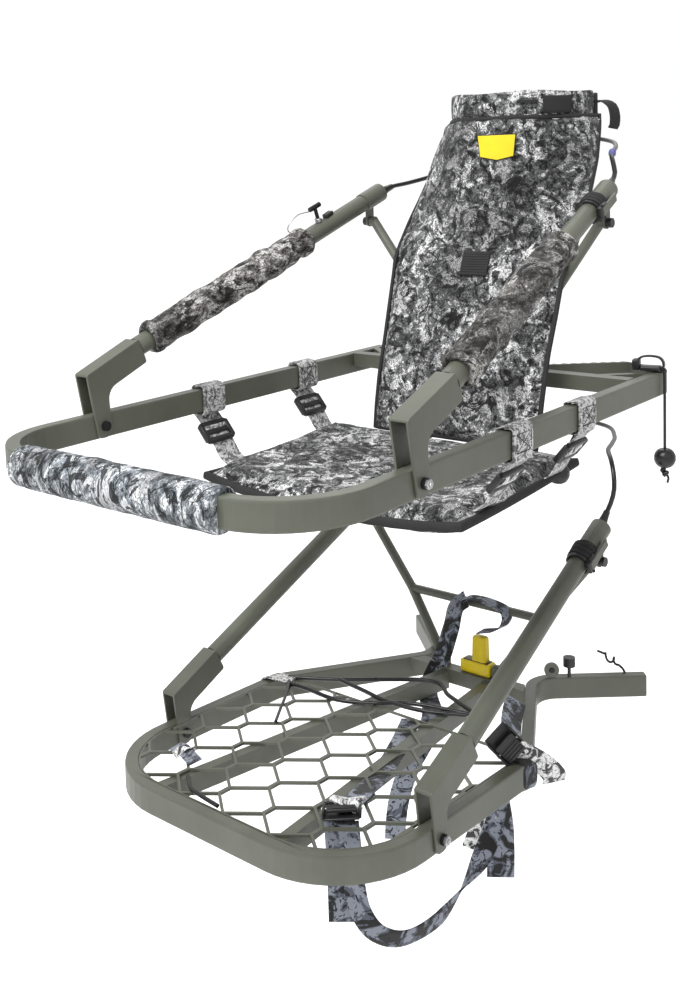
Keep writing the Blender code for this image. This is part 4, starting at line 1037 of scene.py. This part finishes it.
def add_cam_buckle(name, centre, way, face, long, wide):
    """Cam buckle: a channel with two side walls, a cross pin and a serrated press lever."""
    centre = Vector(centre)
    x_way, y_way, z_way = axes(way, face)
    parts = (("base", 0, 0, 0, (long, wide * 0.86, 3.0)),
             ("wall_a", 0, wide * 0.44, 5, (long * 0.8, 3.4, 13)),
             ("wall_b", 0, -wide * 0.44, 5, (long * 0.8, 3.4, 13)),
             ("lever", long * 0.1, 0, 9, (long * 0.5, wide * 0.74, 5.0)),
             ("lip", -long * 0.18, 0, 12, (long * 0.12, wide * 0.74, 6.0)))
    for part_name, along, across, up, size in parts:
        spot = centre + x_way * along + y_way * across + z_way * up
        rounded_box(f"{name}_{part_name}", PLATFORM, spot, x_way, z_way, size, 1.3, PLASTIC)
    reach, lift = y_way * wide * 0.5, z_way * 7
    lathe(f"{name}_pin", PLATFORM, centre - reach + lift, centre + reach + lift,
          [(0, 1.6), (0.3, 3.0), (2.5, 3.0), (3, 1.8), (wide - 3, 1.8), (wide - 2.5, 3.0), (wide - 0.3, 3.0),
           (wide, 1.6)], STEEL, 14)
    for k in range(4):
        spot = centre + x_way * (long * 0.09 * k) + z_way * 12
        rounded_box(f"{name}_rib_{k}", PLATFORM, spot, x_way, z_way, (2.0, wide * 0.66, 1.6), 0.5, PLASTIC)


def add_wing_parts():
    coil = []
    for k in range(60):
        t = k / 59
        a = 2 * math.pi * 1.8 * t
        middle = Vector((176, 60, 44)).lerp(Vector((204, 60, 30)), t)
        swing = 7.5 * math.sin(math.pi * t)
        coil.append(middle + Vector((0.4 * math.cos(a), 0.4 * math.cos(a), math.sin(a))) * swing)
    tube("curly_cord", PLATFORM, [(168, 52, 49)] + coil + [(212, 60, 26), (217, 60, 19)], 2.1, RUBBER, 3.0, 8)
    for name, side in SIDES:
        spot = Vector((128, -38, 32.5)) if side > 0 else Vector((-118, -47, 32.5))
        way = Vector((side * 0.67, -0.74, 0))
        lathe(f"lug_rivet_{name}", PLATFORM, spot - way * 4.2, spot + way * 4.2,
              [(0, 2.0), (0.2, 4.4), (1.6, 5.0), (6.8, 5.0), (8.2, 4.4), (8.4, 2.0)], BLACK_METAL, 18)


def dress_nodes():
    """Give every CAD node the material of its slot."""
    finishes = (OLIVE, BLACK_METAL, PLASTIC, RUBBER, CAMO, LIGHT_WEB, DARK_WEB, YELLOW, STEEL)
    looks = {slot: material for material, slot in finishes}
    for entry in frame["record"]["subparts"]:
        item = frame["nodes"][entry["node"]]
        for slot in item.material_slots:
            slot.material = looks[entry["material_slot"]]


def add_stage():
    """White floor and world, a little brighter to the camera, and three soft lights."""
    n = Nodes("pale_floor")
    n.set(Base_Color=(0.97, 0.97, 0.97))
    seen = n.add("LightPath", {}).outputs["Is Camera Ray"]
    n.set(Roughness=0.9, Emission_Color=(1.0, 1.0, 1.0), Emission_Strength=n.math("MULTIPLY", seen, 0.34))
    mesh = bpy.data.meshes.new("floor")
    mesh.from_pydata([(-40, -40, 0), (40, -40, 0), (40, 40, 0), (-40, 40, 0)], [], [(0, 1, 2, 3)])
    mesh.materials.append(n.material)
    floor = new_object("floor", mesh)
    floor.location.z = FLOOR_Z
    world = bpy.data.worlds.new("studio")
    world.use_nodes = True
    tree = world.node_tree
    tree.nodes["Background"].inputs["Color"].default_value = (1.0, 1.0, 1.0, 1.0)
    seen = tree.nodes.new("ShaderNodeLightPath")
    strength = tree.nodes.new("ShaderNodeMath")
    strength.operation = "MULTIPLY_ADD"
    strength.inputs[1].default_value = 0.24
    strength.inputs[2].default_value = 0.78
    tree.links.new(seen.outputs["Is Camera Ray"], strength.inputs[0])
    tree.links.new(strength.outputs["Value"], tree.nodes["Background"].inputs["Strength"])
    bpy.context.scene.world = world
    bpy.context.scene.view_settings.view_transform = "Standard"
    for name, spot, size, power in (("key", (-0.2, -2.5, 2.9), 2.0, 165), ("fill", (3.2, -1.6, 1.6), 2.5, 8),
                                    ("back", (-1.5, 2.4, 2.6), 2.2, 25)):
        data = bpy.data.lights.new(name, "AREA")
        data.size = size
        data.energy = power
        light = new_object(name, data)
        light.location = spot
        light.rotation_euler = (Vector((0, -0.4, 0)) - Vector(spot)).to_track_quat("-Z", "Y").to_euler()


for step in (dress_nodes, add_stage, add_cables, add_tie_balls, add_front_pad, add_sleeves, add_seat_straps,
             add_seat_cushion, add_back_cushion, add_back_strap, add_lock_straps, add_fasteners,
             add_cable_pin_lanyard, add_peg, add_platform_straps, add_wing_parts):
    step()
